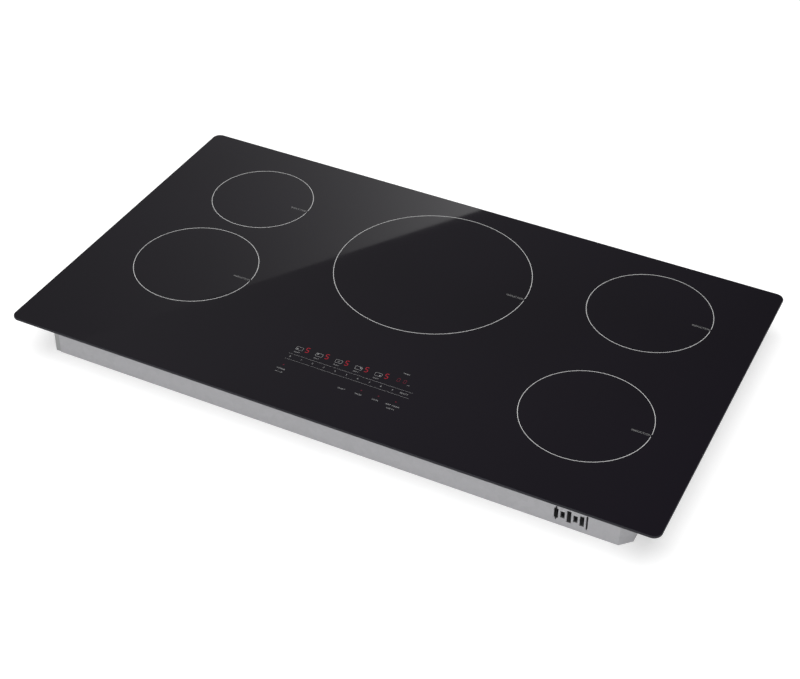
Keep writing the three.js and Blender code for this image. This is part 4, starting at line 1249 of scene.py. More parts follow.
@dataclass
class ControlPrint:
    """The touch panel's lines, icons, words and lit marks, laid out from the display's middle.

    Attributes:
        pitch: from one zone's key to the next.
        first_icon: middle of the first icon, across.
        first_digit: middle of the first digit, across.
        icon: size of a zone's icon.
        icon_corner: radius of its corners.
        icon_back: how far back its middle is.
        select_back: how far back the word under an icon is.
        select_cap: height of that word's capitals.
        digit: size of a lit digit.
        digit_back: how far back its middle is.
        timer_digit: size of a timer's digit.
        hair: width of the scale's lines.
        outline: width of an icon's outline.
        mark: radius of the spot that marks an icon's own zone.
        mark_line: width of the line round it where it is left open, for the middle zone.
        scale_ends: where the power scale's lines start and end, across.
        scale_lines: how far back each line of the scale is.
        scale_first: middle of the scale's first number, across.
        scale_step: from one number to the next.
        scale_cap: height of the scale's numbers.
        boost: middle of the top level's word, across, and height of its capitals.
        timer_word: middle of the timer's word, across and back.
        timer_digits: middle of each of the timer's digits, across.
        timer_back: how far back the timer's digits are.
        timer_unit: middle of the timer's unit, across and back, and height of its capitals.
        key_lines: how far back a key's first and second words are.
        key_lights: how far back the keys' lights are.
        light: radius of a key's light.
        cap: height of the capitals on the keys and over the timer.
    """

    pitch: float = 29.25 * MM
    first_icon: float = -82.6 * MM
    first_digit: float = -71.6 * MM
    icon: tuple[float, float] = (9.6 * MM, 6.4 * MM)
    icon_corner: float = 1.2 * MM
    icon_back: float = -1.6 * MM
    select_back: float = -9.7 * MM
    select_cap: float = 1.8 * MM
    digit: tuple[float, float] = (4.2 * MM, 9.4 * MM)
    digit_back: float = 0.2 * MM
    timer_digit: tuple[float, float] = (3.4 * MM, 6.4 * MM)
    hair: float = 0.26 * MM
    outline: float = 0.45 * MM
    mark: float = 1.15 * MM
    mark_line: float = 0.3 * MM
    scale_ends: tuple[float, float] = (-91 * MM, 90.8 * MM)
    scale_lines: tuple[float, float] = (-15.3 * MM, -26.8 * MM)
    scale_first: float = -86.1 * MM
    scale_step: float = 16.7 * MM
    scale_cap: float = 2.9 * MM
    boost: tuple[float, float] = (80.8 * MM, 2.5 * MM)
    timer_word: tuple[float, float] = (66.5 * MM, 15.6 * MM)
    timer_digits: tuple[float, float] = (62.4 * MM, 71.5 * MM)
    timer_back: float = 0.7 * MM
    timer_unit: tuple[float, float, float] = (78.6 * MM, -4.0 * MM, 1.9 * MM)
    key_lines: tuple[float, float] = (-48.4 * MM, -54.6 * MM)
    key_lights: float = -39.8 * MM
    light: float = 1.1 * MM
    cap: float = 2.4 * MM

    def build(self) -> None:
        """Builds the panel's ink and its lights."""
        self.y = measured("display_module")[2].y
        ink = Print("control_lines", PANEL_PRINT)
        words = Print("control_words", PANEL_PRINT)
        digits = Print("lit_digits", RED_DIGIT)
        points = Print("lit_points", RED_POINT)
        self.zone_keys(ink, words, digits)
        self.power_scale(ink, words)
        self.timer(words, points)
        self.keys(words, points)
        for part in (ink, words, digits, points):
            part.build()

    def zone_keys(self, ink: Print, words: Print, digits: Print) -> None:
        """Five icons, each a hob outline with its own zone marked, with a word below and a digit beside it.

        Args:
            ink: the piece that gathers the lines.
            words: the piece that gathers the words.
            digits: the piece that gathers the digits.
        """
        width, depth = self.icon
        spots = ((-0.26, -0.2), (-0.26, 0.2), (0.0, 0.0), (0.26, 0.2), (0.26, -0.2))
        for i, (across, back) in enumerate(spots):
            x, y = self.first_icon + i * self.pitch, self.y + self.icon_back
            hob = rounded_rectangle(width, depth, self.icon_corner, 4) + [x, y]
            ink.stroke(hob, self.outline, closed=True)
            mark = disc(self.mark, 18) + [x + across * width, y + back * depth]
            if i == len(spots) // 2:
                ink.stroke(mark, self.mark_line, closed=True)
            else:
                ink.patch(mark)
            words.word("SELECT", x, self.y + self.select_back, self.select_cap)
            x = self.first_digit + i * self.pitch
            self.seven(digits, x, self.y + self.digit_back, self.digit, "afgcd")

    @staticmethod
    def seven(light: Print, x: float, y: float, size: tuple[float, float], lit: str) -> None:
        """A seven-segment digit, whose segments are bars with pointed ends.

        Args:
            light: the piece that gathers the segments.
            x: middle of the digit, across.
            y: middle of the digit, front to back.
            size: its width and height.
            lit: letters of its lit segments.
        """
        width, height = size
        half, quarter, thick = width / 2, height / 4, width * 0.23
        spots = {
            "a": (0, height / 2, False),
            "b": (half, quarter, True),
            "c": (half, -quarter, True),
            "d": (0, -height / 2, False),
            "e": (-half, -quarter, True),
            "f": (-half, quarter, True),
            "g": (0, 0, False),
        }
        for key in lit:
            across, back, upright = spots[key]
            end = (height / 2 if upright else width) / 2 - thick / 4
            tip = thick / 2
            flat = end - tip
            bar = np.array([[-end, 0], [-flat, -tip], [flat, -tip], [end, 0], [flat, tip], [-flat, tip]])
            light.patch((bar[:, ::-1] * [-1, 1] if upright else bar) + [x + across, y + back])

    def power_scale(self, ink: Print, words: Print) -> None:
        """Two long lines with the levels between them, numbered from nought, and a word for the top level.

        Args:
            ink: the piece that gathers the lines.
            words: the piece that gathers the words.
        """
        heights = [self.y + back for back in self.scale_lines]
        for y in heights:
            ink.line((self.scale_ends[0], y), (self.scale_ends[1], y), self.hair)
        middle = sum(heights) / 2
        for level in range(10):
            words.word(str(level), self.scale_first + level * self.scale_step, middle, self.scale_cap)
        words.word("BOOST", self.boost[0], middle, self.boost[1])

    def timer(self, words: Print, points: Print) -> None:
        """The timer's word, its two dim digits and its unit.

        Args:
            words: the piece that gathers the words.
            points: the piece that gathers the dim digits.
        """
        words.word("TIMER", self.timer_word[0], self.y + self.timer_word[1], self.cap)
        for x in self.timer_digits:
            self.seven(points, x, self.y + self.timer_back, self.timer_digit, "abcdef")
        across, back, cap = self.timer_unit
        words.word("min", across, self.y + back, cap)

    def keys(self, words: Print, points: Print) -> None:
        """The row of keys at the front: a word or two each, and a small light behind most of them.

        Args:
            words: the piece that gathers the words.
            points: the piece that gathers the lights.
        """
        rows = (
            (-84.3, ("POWER", "on / off"), -85.2),
            (4.3, ("START",), None),
            (28.8, ("PAUSE",), 29.2),
            (53.1, ("LOCK",), 54.0),
            (78.0, ("KEEP WARM", "hold 3 s"), 78.7),
        )
        for x, texts, light in rows:
            for text, back in zip(texts, self.key_lines):
                words.word(text, x * MM, self.y + back, self.cap)
            if light is not None:
                points.patch(disc(self.light, 18) + [light * MM, self.y + self.key_lights])


# ---- Sheet metal and fastenings ----


@dataclass
class Chassis:
    """The pan, the frame, the tray and the cover over the supply.

    Attributes:
        fold: radius of the pan's folded edges.
        sheet_edge: radius of a cut sheet's edges.
        lap_width: width of the side wall's tab that shows beside the front panel.
        lap_step: how far the front panel stands proud of the tab.
    """

    fold: float = 0.45 * MM
    sheet_edge: float = 0.3 * MM
    lap_width: float = 8 * MM
    lap_step: float = 1 * MM

    def build(self) -> None:
        """Builds each sheet-metal piece from its frame node."""
        pan = softened("bottom_pan", "pan_shell", self.fold, SHEET_STEEL)
        # The pan's second and third finishes are painted shade on the tab and a painted shadow line on the
        # cut edge beside it.
        for finish in (TAB_PAINTED_SHADE, SEAM_SHADOW):
            pan.data.materials.append(finish.material())
        tone_by(pan.data, self.tab_tone)
        softened("support_frame", "frame_rail", self.sheet_edge, SHEET_STEEL)
        softened("coil_tray", "tray_sheet", self.sheet_edge, BARE_ALUMINIUM)
        softened("terminal_cover", "cover_plate", self.sheet_edge, SHEET_STEEL)

    def tab_tone(self, middles: Grid, normals: Grid) -> NDArray:
        """Tells the side wall's tab and the panel's cut edge beside it from the rest of the pan, for painted
        shade on the tab and a painted shadow line on the cut edge.

        Args:
            middles: the faces' middles.
            normals: the faces' normals.

        Returns:
            1 for the front of the tab, painted darker as shade, 2 for the cut edge, painted dark as the
            seam's shadow, and 0 for all else.
        """
        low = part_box("bottom_pan")[0]
        front, left, near = middles[:, 1] - low.y, middles[:, 0] - low.x, self.lap_step / 4
        tab = (np.abs(front - self.lap_step) < near) & (normals[:, 1] < -0.9) & (left < self.lap_width)
        edge = (front < self.lap_step) & (normals[:, 0] < -0.9) & (np.abs(left - self.lap_width) < near)
        return np.where(edge, 2, np.where(tab, 1, 0))


@dataclass
class CoilStacks:
    """Under each zone: a carrier, a ferrite star, a flat winding, a mica disc and a sensor.

    Attributes:
        cord_width: of the stranded cord, as it lies.
        turn_gap: between one turn and the next.
        winding_eye: radius where the innermost turn starts.
        rim_gap: from the outermost turn to the edge of the frame's winding.
        plate: thickness of a carrier.
        plate_eye: radius of a carrier's eye.
        mica_eye: radius of a mica disc's eye.
        foot: radius of a carrier's feet.
        feet: how many of them.
        zones: the zones' names.
    """

    cord_width: float = 4.2 * MM
    turn_gap: float = 0.25 * MM
    winding_eye: float = 24 * MM
    rim_gap: float = 0.2 * MM
    plate: float = 2 * MM
    plate_eye: float = 6.5 * MM
    mica_eye: float = 8 * MM
    foot: float = 5 * MM
    feet: int = 3
    zones: tuple[str, ...] = ("left_rear", "left_front", "center", "right_rear", "right_front")

    def build(self) -> None:
        """Builds the stack of each zone."""
        for zone in self.zones:
            self.winding(zone)
            self.carrier(zone)
            self.mica(zone)
            self.sensor(zone)
            softened(f"ferrite_star_{zone}", f"ferrite_bars_{zone}", 0.6 * MM, FERRITE)

    def winding(self, zone: str) -> None:
        """A cord wound flat: its radius grows from the inner to the outer by one pitch a turn, at one height.

        Args:
            zone: the zone's name.
        """
        node = f"coil_winding_{zone}"
        low, high, middle = measured(node)
        half = self.cord_width / 2
        inner, outer = self.winding_eye + half, (high.x - low.x) / 2 - half - self.rim_gap
        turns = math.floor((outer - inner) / (self.cord_width + self.turn_gap))
        angle = np.linspace(0, 2 * math.pi * turns, 56 * turns + 1)
        radius = inner + (outer - inner) * angle / angle[-1]
        flat = np.full_like(angle, middle.z)
        path = np.column_stack([middle.x + radius * np.cos(angle), middle.y + radius * np.sin(angle), flat])
        grid, chart = cord(path, np.array([0.0, 0.0, 1.0]), half, (high.z - low.z) / 2)
        shell = Shell().add_grid(grid, False, True, chart)
        shell.fitted(f"litz_winding_{zone}", LITZ_COPPER, node, sharp=60)

    def carrier(self, zone: str) -> None:
        """A round plate with an eye and a rolled edge, on feet.

        Args:
            zone: the zone's name.
        """
        node = f"coil_carrier_{zone}"
        low, high, middle = measured(node)
        radius, top, under = (high.x - low.x) / 2, high.z, high.z - self.plate
        e = 0.3 * MM
        profile = np.array([[self.plate_eye, under], [radius - e, under], [radius, under + e],
                            [radius, top - e], [radius - e, top], [self.plate_eye, top]])
        shell = Shell().add_turned(profile, 96, middle)
        foot, reach = disc(self.foot, 24), radius - 2 * self.foot
        for i in range(self.feet):
            angle = (i + 0.25) * 2 * math.pi / self.feet
            spot = [middle.x + reach * math.cos(angle), middle.y + reach * math.sin(angle)]
            shell.add_prism(foot + spot, low.z, (under + top) / 2)
        shell.fitted(f"carrier_plate_{zone}", BARE_ALUMINIUM, node)

    def mica(self, zone: str) -> None:
        """A thin ring of mica with a hole for the sensor.

        Args:
            zone: the zone's name.
        """
        node = f"mica_disc_{zone}"
        low, high, middle = measured(node)
        eye, radius = self.mica_eye, (high.x - low.x) / 2
        profile = np.array([[eye, low.z], [radius, low.z], [radius, high.z], [eye, high.z]])
        Shell().add_turned(profile, 96, middle).fitted(f"mica_sheet_{zone}", MICA_BOARD, node)

    def sensor(self, zone: str) -> None:
        """A turned ceramic button with a flange and a rounded tip.

        Args:
            zone: the zone's name.
        """
        node = f"temperature_sensor_{zone}"
        low, high, middle = measured(node)
        radii = np.array([0, 10.6, 11, 11, 10.6, 6.6, 6, 6, 5.7, 5, 4, 0]) * MM
        heights = np.array([0, 0, 0.4, 1.6, 2, 3.2, 4, 0, 0, 0, 0, 0]) * MM + low.z
        heights[7:] = high.z - np.array([1.9, 1.2, 0.4, 0, 0]) * MM
        shell = Shell().add_turned(np.column_stack([radii, heights]), 40, middle, False)
        shell.fitted(f"sensor_button_{zone}", SENSOR_CERAMIC, node)


class Component(Enum):
    """Components on the boards, by height above the board in tenths of a millimetre."""

    FILM_CAPACITOR = 200
    INPUT_CHOKE = 240
    RELAY = 160
    TERMINAL = 120
    CONTROLLER = 90
    LARGE_FILM_CAPACITOR = 220
    CONNECTOR = 140


COMPONENT_FINISHES = {
    Component.FILM_CAPACITOR: YELLOW_FILM,
    Component.INPUT_CHOKE: LITZ_COPPER,
    Component.RELAY: GREY_MOULDING,
    Component.TERMINAL: ZINC_PLATE,
    Component.CONTROLLER: BLACK_MOULDING,
    Component.LARGE_FILM_CAPACITOR: YELLOW_FILM,
    Component.CONNECTOR: PALE_MOULDING,
}


@dataclass
class PowerBay:
    """At each side a blower, its duct, a heat sink and an inverter board.

    Attributes:
        blades: blades on an impeller.
        blade_inner: radius where a blade starts.
        blade_gap: from the end of a blade to the impeller's rim.
        ring_inner: radius of the eye of the ring under the blades.
        blade_lean: how far ahead its tip stands of its root, in radians.
        blade_thickness: at the middle of a blade.
        plate: thickness of an impeller's plate and ring.
        hub: radius of its hub.
        bore: radius of the hub's bore.
        sheet: thickness of a board.
    """

    blades: int = 20
    blade_inner: float = 33.6 * MM
    blade_gap: float = 0.8 * MM
    ring_inner: float = 34.6 * MM
    blade_lean: float = 0.13
    blade_thickness: float = 1.3 * MM
    plate: float = 1.5 * MM
    hub: float = 9 * MM
    bore: float = 4.5 * MM
    sheet: float = 1.6 * MM

    def build(self) -> None:
        """Builds both sides, and the filter board that is made in the same way."""
        for side, body in (("left", Body.LEFT), ("right", Body.RIGHT)):
            self.impeller(side, body)
            softened(f"blower_housing_{side}", f"scroll_housing_{side}", 0.5 * MM, BLACK_MOULDING)
            softened(f"air_duct_{side}", f"duct_channel_{side}", 0.4 * MM, BLACK_MOULDING)
            softened(f"heat_sink_{side}", f"fin_block_{side}", 0.25 * MM, BARE_ALUMINIUM)
            self.board(f"inverter_board_{side}", f"inverter_circuit_{side}")
        self.board("filter_board", "filter_circuit")

    def impeller(self, side: str, body: Body) -> None:
        """A plate and hub, a ring round the lower ends of the blades, and the blades between them.

        A blade's middle line is (radius cos a, radius sin a), where a grows as the share of the way out to
        the power 1.7, and the blade thins towards both ends as the sine of pi times that share.

        Args:
            side: left or right.
            body: the body it rides on.
        """
        node = f"blower_impeller_{side}"
        low, high, middle = measured(node)
        radius = (high.x - low.x) / 2
        half, e = (low.z + high.z) / 2, 0.35 * MM
        under, over = high.z - self.plate, low.z + self.plate
        profile = np.array([[self.bore, half], [self.hub - e, half], [self.hub, half + e],
                            [self.hub, under - e], [self.hub + 2 * e, under], [radius - e, under],
                            [radius, under + e], [radius, high.z - e], [radius - e, high.z],
                            [self.bore, high.z]])
        ring = np.array([[self.ring_inner, low.z], [radius - e, low.z], [radius, low.z + e],
                         [radius, over - e], [radius - e, over], [self.ring_inner, over]])
        shell = Shell().add_turned(profile, 96, middle).add_turned(ring, 96, middle)
        share = np.linspace(0, 1, 9)
        reach = self.blade_inner + (radius - self.blade_gap - self.blade_inner) * share
        thick = self.blade_thickness * (0.35 + 0.65 * np.sin(math.pi * share))
        for i in range(self.blades):
            ahead = 2 * math.pi * i / self.blades + self.blade_lean * share**1.7
            sides = [np.column_stack([reach * np.cos(a), reach * np.sin(a)])
                     for a in (ahead - thick / (2 * reach), ahead + thick / (2 * reach))]
            outline = np.vstack([sides[0], sides[1][::-1]]) + list(middle[:2])
            shell.add_prism(outline, low.z + self.plate / 2, high.z - self.plate / 2)
        shell.fitted(f"fan_wheel_{side}", PALE_MOULDING, node, body=body)

    def board(self, node: str, name: str) -> None:
        """A board with its components, each in the finish of its kind.

        Args:
            node: the frame's board.
            name: the new piece's name.
        """
        mesh = softened(node, name, 0.5 * MM, GREEN_BOARD).data
        for finish in COMPONENT_FINISHES.values():
            mesh.materials.append(finish.material())
        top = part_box(node)[0].z + self.sheet
        tone_by(mesh, lambda middles, normals: self.component_tones(mesh, top, middles, normals))

    @staticmethod
    def component_tones(mesh: bpy.types.Mesh, top: float, middles: Grid, normals: Grid) -> NDArray:
        """Tells each component's faces by the height of its lid.

        Args:
            mesh: the board's mesh.
            top: height of the board's upper face.
            middles: the faces' middles.
            normals: the faces' normals.

        Returns:
            The number of each face's finish, 0 for the board's own faces.
        """
        near = 0.1 * MM
        points = np.empty(len(mesh.vertices) * 3)
        mesh.vertices.foreach_get("co", points)
        points = points.reshape(-1, 3)
        chosen = np.zeros(len(middles), dtype=np.int32)
        raised = middles[:, 2] > top + near
        for lid in np.flatnonzero(raised & (normals[:, 2] > 0.9)):
            corners = points[list(mesh.polygons[lid].vertices), :2]
            low, high = corners.min(axis=0) - near, corners.max(axis=0) + near
            under = np.all((middles[:, :2] >= low) & (middles[:, :2] <= high), axis=1)
            kind = Component(round((middles[lid, 2] - top) / MM * 10))
            chosen[raised & under] = 1 + list(COMPONENT_FINISHES).index(kind)
        return chosen


@dataclass
class Supply:
    """The conduit fitting, its nut, the terminal block, the choke and the capacitor.

    Attributes:
        bore: radius of the fitting's bore.
        thread: radius over the thread.
        thread_depth: from the thread's crest to its root.
        thread_pitch: from one crest to the next.
        thread_length: of the thread.
        flange: thickness of the fitting's hexagon.
        barrel: radius of the fitting's body.
        wire: radius of the choke's wire.
        core_eye: radius of the choke's eye.
        turns: turns of wire on each half of the choke.
        turns_gap: bare angle at each end of a half's turns, in radians.
    """

    bore: float = 9 * MM
    thread: float = 10.6 * MM
    thread_depth: float = 0.7 * MM
    thread_pitch: float = 1.4 * MM
    thread_length: float = 8 * MM
    flange: float = 4 * MM
    barrel: float = 12.5 * MM
    wire: float = 0.8 * MM
    core_eye: float = 9 * MM
    turns: int = 17
    turns_gap: float = 0.2

    def build(self) -> None:
        """Builds the pieces by the supply entry."""
        self.fitting()
        self.choke()
        self.capacitor()
        softened("conduit_locknut", "entry_locknut", 0.4 * MM, ZINC_PLATE)
        softened("terminal_block", "wire_block", 0.6 * MM, PALE_MOULDING)

    def fitting(self) -> None:
        """Thread, hexagon and barrel, turned about the conduit's axis and pointed backwards.

        The thread's radius goes from crest to root and back as a triangle wave. On the hexagon the radius at
        each angle a is the flat's distance over cos(a), with a measured from the middle of the nearest flat.
        The barrel has a shallow groove round its middle.
        """
        low, high, middle = measured("conduit_fitting")
        corner = (high.x - low.x) / 2
        end = high.y - low.y - self.thread_length
        steps = int(self.thread_length / self.thread_pitch * 2)
        along = np.linspace(-self.thread_length, -0.1 * MM, steps + 1)
        teeth = np.column_stack([self.thread - self.thread_depth * (np.arange(steps + 1) % 2), along])
        e = 0.5 * MM
        body = np.array([[corner - e, 0], [corner, e], [corner, self.flange - e], [corner - e, self.flange],
                         [self.barrel, self.flange], [self.barrel, end * 0.62], [self.barrel - e, end * 0.64],
                         [self.barrel - e, end * 0.72], [self.barrel, end * 0.74], [self.barrel, end - e],
                         [self.barrel - e, end], [self.bore + e, end], [self.bore, end - e],
                         [self.bore, -self.thread_length]])
        profile = np.vstack([teeth, body])
        grid = turned(profile, 96)
        sixth = math.pi / 3
        angle = np.linspace(0, 2 * math.pi, 96, endpoint=False)
        fold = np.cos(sixth / 2) / np.cos((angle % sixth) - sixth / 2)
        wide = profile[:, 0] > self.barrel + 0.1 * MM
        grid[:, wide, :2] *= fold[:, None, None]
        grid = aimed(grid, (middle.x, low.y + self.thread_length, middle.z), (0, 1, 0))
        Shell().add_grid(grid, True, True).fitted("entry_fitting", ZINC_PLATE, "conduit_fitting", sharp=35)

    def choke(self) -> None:
        """A ring core with a winding on each half of it.

        The core's section is half its width times cos a and half its height times sin a, after rounded() has
        pushed both waves out. The wire goes round that section once for each turn, while it moves along its
        half of the ring.
        """
        low, high, middle = measured("filter_choke")
        outer = (high.x - low.x) / 2 - 2 * self.wire
        ring = (outer + self.core_eye + 2 * self.wire) / 2
        wide, tall = outer - ring, (high.z - low.z) / 2 - 2 * self.wire
        a = np.linspace(0, 2 * math.pi, 20, endpoint=False)
        core = np.column_stack([ring + wide * rounded(np.cos(a)), middle.z + tall * rounded(np.sin(a))])
        Shell().add_turned(core, 64, middle).fitted("choke_core", CORE_POWDER)
        wire = Shell()
        for start in (self.turns_gap, math.pi + self.turns_gap):
            share = np.linspace(0, 1, self.turns * 24 + 1)
            about = 2 * math.pi * self.turns * share
            along = start + (math.pi - 2 * self.turns_gap) * share
            reach = ring + (wide + self.wire) * rounded(np.cos(about))
            height = middle.z + (tall + self.wire) * rounded(np.sin(about))
            east, north = np.cos(along), np.sin(along)
            path = np.column_stack([middle.x + reach * east, middle.y + reach * north, height])
            guide = np.column_stack([-north, east, np.zeros_like(along)])
            grid, chart = cord(path, guide, self.wire, self.wire, 8)
            wire.add_grid(grid, False, True, chart)
        wire.fitted("choke_winding", LITZ_COPPER, "filter_choke", sharp=60)

    def capacitor(self) -> None:
        """A can in a shrunk sleeve, with a rolled groove near its foot and a bare, sunken lid."""
        low, high, middle = measured("filter_capacitor")
        radius, tall = (high.x - low.x) / 2, high.z - low.z
        radii = np.array([0, 0.94, 1, 1, 0.93, 0.93, 1, 1, 0.96, 0.84, 0.82, 0]) * radius
        shares = np.array([0, 0, 0.02, 0.09, 0.11, 0.13, 0.15, 0.97, 1, 1, 0.985, 0.985])
        profile = np.column_stack([radii, low.z + shares * tall])
        shell = Shell().add_turned(profile, 64, middle, False)
        made = shell.build("smoothing_capacitor", BLUE_SLEEVE, BARE_ALUMINIUM)
        lid, inside = low.z + 0.98 * tall, 0.83 * radius
        tone_by(
            made.data, lambda at, _: (at[:, 2] > lid) & (np.hypot(*(at[:, :2] - middle[:2]).T) < inside)
        )
        fit(made, BLUE_SLEEVE, "filter_capacitor")


@dataclass
class TouchUnit:
    """The bracket, the board and the display under the glass."""

    def build(self) -> None:
        """Builds the three pieces from their frame nodes."""
        softened("control_bracket", "touch_bracket", 0.5 * MM, BLACK_MOULDING)
        softened("control_board", "touch_circuit", 0.3 * MM, GREEN_BOARD)
        softened("display_module", "display_block", 0.5 * MM, RED_WINDOW)


@dataclass
class Fasteners:
    """The pan-head screws in the walls.

    Attributes:
        head: radius of the head.
        head_height: of the head.
        shank: radius of the shank over its thread.
        thread: from the thread's crest to its root.
        ridges: crests and roots along the shank.
        rings: rings of points on the head's top.
        recess: width of the cross recess, its length and its depth.
    """

    head: float = 3.8 * MM
    head_height: float = 2.3 * MM
    shank: float = 1.9 * MM
    thread: float = 0.3 * MM
    ridges: int = 15
    rings: int = 20
    recess: tuple[float, float, float] = (1.0 * MM, 4.4 * MM, 1.2 * MM)

    def build(self) -> None:
        """Builds a screw for each screw node, pointed out of its wall."""
        for name in sorted(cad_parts):
            if "screw" in name:
                self.screw(name)

    def screw(self, node: str) -> None:
        """A turned screw whose head is pressed in where the cross is.

        The head's top falls as the square of the radius. The cross takes its depth off that wherever the
        point lies within half its width of one of two crossed lines.

        Args:
            node: the frame's screw.
        """
        low, high, middle = measured(node)
        axis = Vector((0, 1, 0)) if "_left_" not in node and "_right_" not in node else Vector((1, 0, 0))
        if "_left_" in node:
            axis = -axis
        length = abs((high - low).dot(axis))
        tip = middle - axis * (length / 2)
        under = length - self.head_height
        along = np.linspace(0.5 * MM, under - 0.4 * MM, self.ridges)
        shank = np.column_stack([self.shank - self.thread * (np.arange(self.ridges) % 2), along])
        rim = np.array([[self.shank, under], [self.head - 0.2 * MM, under], [self.head, under + 0.2 * MM]])
        inward = np.linspace(self.head, 0, self.rings)
        dome = under + self.head_height * (1 - 0.45 * (inward / self.head) ** 2)
        profile = np.vstack([[[0, 0], [1.2 * MM, 0.1 * MM]], shank, rim, np.column_stack([inward, dome])])
        grid = turned(profile, 56)
        width, reach, depth = self.recess
        top = grid[:, -self.rings:, :]
        near, far = np.sort(np.abs(top[..., :2]), axis=-1)[..., 0], np.abs(top[..., :2]).max(axis=-1)
        pressed = (near < width / 2) & (far < reach / 2)
        top[..., 2] -= depth * pressed
        shell = Shell().add_grid(aimed(grid, tip, axis), True, False)
        shell.fitted(f"{node}_body", ZINC_PLATE, node, sharp=45)


# ---- Studio ----


@dataclass(frozen=True)
class Lamp:
    """A square soft light.

    Attributes:
        name: the light's name.
        place: where it stands.
        size: of its side, in metres.
        power: in watts.
    """

    name: str
    place: tuple[float, float, float]
    size: float
    power: float

    def build(self) -> None:
        """Makes the light. It faces the origin, and shows neither directly nor in a reflection."""
        data = bpy.data.lights.new(self.name, "AREA")
        data.size = self.size
        data.energy = self.power
        made = placed(self.name, data)
        made.location = self.place
        made.rotation_euler = (-Vector(self.place)).to_track_quat("-Z", "Y").to_euler()
        made.visible_camera = False
        made.visible_glossy = False


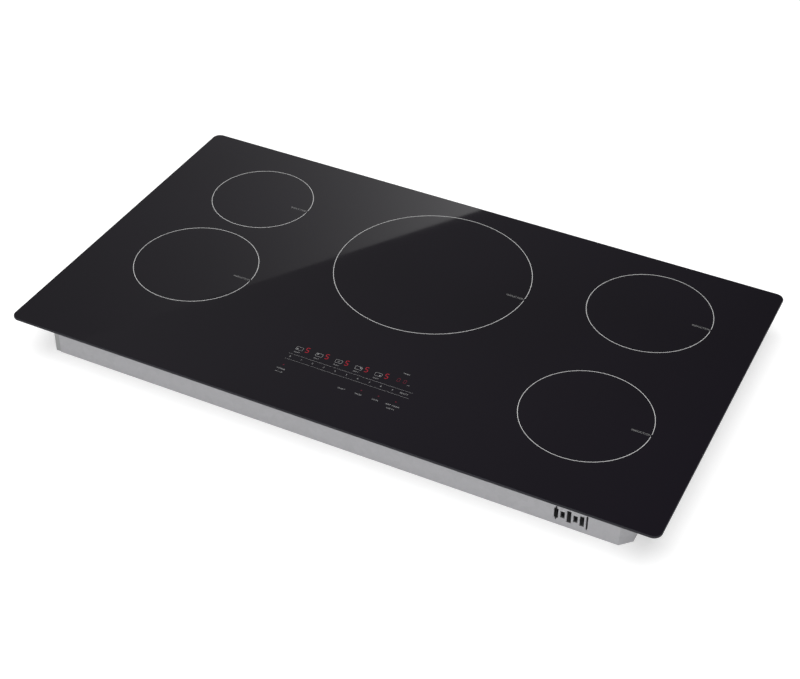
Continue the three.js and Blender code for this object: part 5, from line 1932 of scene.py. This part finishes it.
@dataclass
class Studio:
    """Camera, lights and floor.

    Attributes:
        azimuth: camera's angle round from the front, in degrees.
        elevation: camera's angle above the horizon.
        roll: camera's lean.
        lens: focal length, in millimetres on a 36 mm sensor.
        shift: how far the lens is moved across and up, as a share of the frame's width.
        target: point looked at, on top of the glass.
        distance: from that point to the camera.
        floor_half: half the floor's side.
        floor_drop: from the floor to the pan.
        floor_glow: strength of the floor's own light.
        lamps: the soft lights.
        room: strength of the room's light from the left and from the right.
        room_turn: how far right a direction points where the left's strength ends and the right's begins.
        card_end: right end of the reflected card's upper edge, across and up.
        card_slope: rise of that edge for each metre to the right.
        card_reach: how far it goes to the left.
        card_bottom: height of the card's lower edge.
        card_back: how far behind the object it stands.
        card_glow: the card's even glow, and what is added to it at the bright place.
        card_bright: that place, across.
        card_fall: distance to the left over which the added glow falls by a factor of e.
    """

    azimuth: float = 23.6503
    elevation: float = 36.632
    roll: float = 2.1877
    lens: float = 75.146
    shift: float = -0.075
    target: tuple[float, float] = (41.15 * MM, 89.14 * MM)
    distance: float = 2340.47 * MM
    floor_half: float = 12.0
    floor_drop: float = 0.5 * MM
    floor_glow: float = 0.55
    lamps: tuple[Lamp, ...] = (
        Lamp("overhead", (0.0, -1.2, 4.5), 5.0, 300),
        Lamp("front", (1.5, -3.3, 1.4), 2.4, 28),
    )
    room: tuple[float, float] = (0.25, 0.1)
    room_turn: tuple[float, float] = (-0.5, -0.15)
    card_end: tuple[float, float] = (-0.2, 0.757)
    card_slope: float = -0.683
    card_reach: float = 2.8
    card_bottom: float = 0.3
    card_back: float = 1.5
    card_glow: tuple[float, float] = (0.2, 0.76)
    card_bright: float = -0.64
    card_fall: float = 0.34

    def build(self) -> None:
        """Sets up the whole studio."""
        self.camera()
        self.floor()
        for lamp in self.lamps:
            lamp.build()
        self.dim_room()
        self.card()

    def camera(self) -> None:
        """The camera, on a line from the target at its azimuth and elevation, leaning by its roll."""
        a, e, lean = (math.radians(v) for v in (self.azimuth, self.elevation, self.roll))
        back = Vector((math.sin(a) * math.cos(e), -math.cos(a) * math.cos(e), math.sin(e)))
        right = (-back).cross(Vector((0, 0, 1))).normalized()
        up = right.cross(-back)
        x_axis = right * math.cos(lean) + up * math.sin(lean)
        y_axis = up * math.cos(lean) - right * math.sin(lean)
        data = bpy.data.cameras.new("camera")
        data.lens = self.lens
        data.sensor_width = 36
        data.shift_x = data.shift_y = self.shift
        data.clip_end = 50
        made = placed("camera", data)
        turn = Matrix((x_axis, y_axis, back)).transposed().to_4x4()
        place = Vector((*self.target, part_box("glass_top")[1].z)) + back * self.distance
        made.matrix_world = Matrix.Translation(place) @ turn
        bpy.context.scene.camera = made

    def floor(self) -> None:
        """A plain pale floor under the pan, which glows a little of itself, as a light table does."""
        half = self.floor_half
        made = self.sheet("floor", [(-half, -half, 0), (half, -half, 0), (half, half, 0), (-half, half, 0)])
        made.location.z = -self.floor_drop
        recipe = Recipe("floor_paper")
        grain = recipe.noise(recipe.place(), 30.0, 2.0)
        recipe.finish(Base_Color=recipe.ramp(grain, [(0.0, (0.6, 0.6, 0.6)), (1.0, (0.63, 0.63, 0.63))]))
        recipe.finish(Roughness=0.9, Emission_Color=(1.0, 1.0, 1.0), Emission_Strength=self.floor_glow)
        made.data.materials.append(recipe.material)

    @staticmethod
    def sheet(name: str, corners: Sequence[Sequence[float]]) -> bpy.types.Object:
        """A flat sheet that is part of the studio.

        Args:
            name: the sheet's name.
            corners: its four corners, in order.

        Returns:
            The new object.
        """
        mesh = bpy.data.meshes.new(name)
        mesh.from_pydata(corners, [], [(0, 1, 2, 3)])
        made = placed(name, mesh)
        return made

    def dim_room(self) -> None:
        """A dim room, a little brighter to the left, whose strength falls as the direction turns right."""
        world = bpy.data.worlds.new("room")
        world.use_nodes = True
        nodes, links = world.node_tree.nodes, world.node_tree.links
        source, parts, fade = (
            nodes.new(kind) for kind in ("ShaderNodeTexCoord", "ShaderNodeSeparateXYZ", "ShaderNodeMapRange")
        )
        links.new(source.outputs["Generated"], parts.inputs["Vector"])
        links.new(parts.outputs["X"], fade.inputs["Value"])
        for key, value in zip(("From Min", "From Max", "To Min", "To Max"), (*self.room_turn, *self.room)):
            fade.inputs[key].default_value = value
        links.new(fade.outputs["Result"], nodes["Background"].inputs["Strength"])
        nodes["Background"].inputs["Color"].default_value = (1, 1, 1, 1)
        bpy.context.scene.world = world
        bpy.context.scene.view_settings.view_transform = "Standard"

    def card(self) -> None:
        """A glowing card behind the object to the left, whose slanted upper edge the glass mirrors.

        Its glow is an even part plus one that falls off exponentially to the left.
        """
        right, top = self.card_end
        left = right - self.card_reach
        back, bottom = self.card_back, self.card_bottom
        lifted = top - self.card_slope * self.card_reach
        corners = [(right, back, top), (left, back, lifted), (left, back, bottom), (right, back, bottom)]
        made = self.sheet("reflected_card", corners)
        made.visible_camera = False
        made.visible_diffuse = False
        recipe = Recipe("card_glow")
        across = recipe.feed(recipe.node("ShaderNodeSeparateXYZ"), Vector=recipe.place()).outputs["X"]
        even, added = self.card_glow
        beyond = recipe.combine("ADD", across, -self.card_bright)
        steps = recipe.combine("MULTIPLY", beyond, 1 / self.card_fall)
        fall = recipe.combine("MULTIPLY", recipe.combine("EXPONENT", steps), added)
        glow = recipe.feed(recipe.node("ShaderNodeEmission"), Strength=recipe.combine("ADD", fall, even))
        recipe.links.new(glow.outputs["Emission"], recipe.nodes["Material Output"].inputs["Surface"])
        made.data.materials.append(recipe.material)


# ---- The whole object ----


def main() -> None:
    """Builds the cooktop's looks and the studio round it."""
    logging.basicConfig(level=logging.INFO, format="%(message)s")
    for part in (
        Studio(),
        GlassTop(),
        CookingZones(),
        ControlPrint(),
        Chassis(),
        CoilStacks(),
        PowerBay(),
        Supply(),
        TouchUnit(),
        Fasteners(),
    ):
        log.info("building the %s", type(part).__name__)
        part.build()


if __name__ == "__main__":
    main()
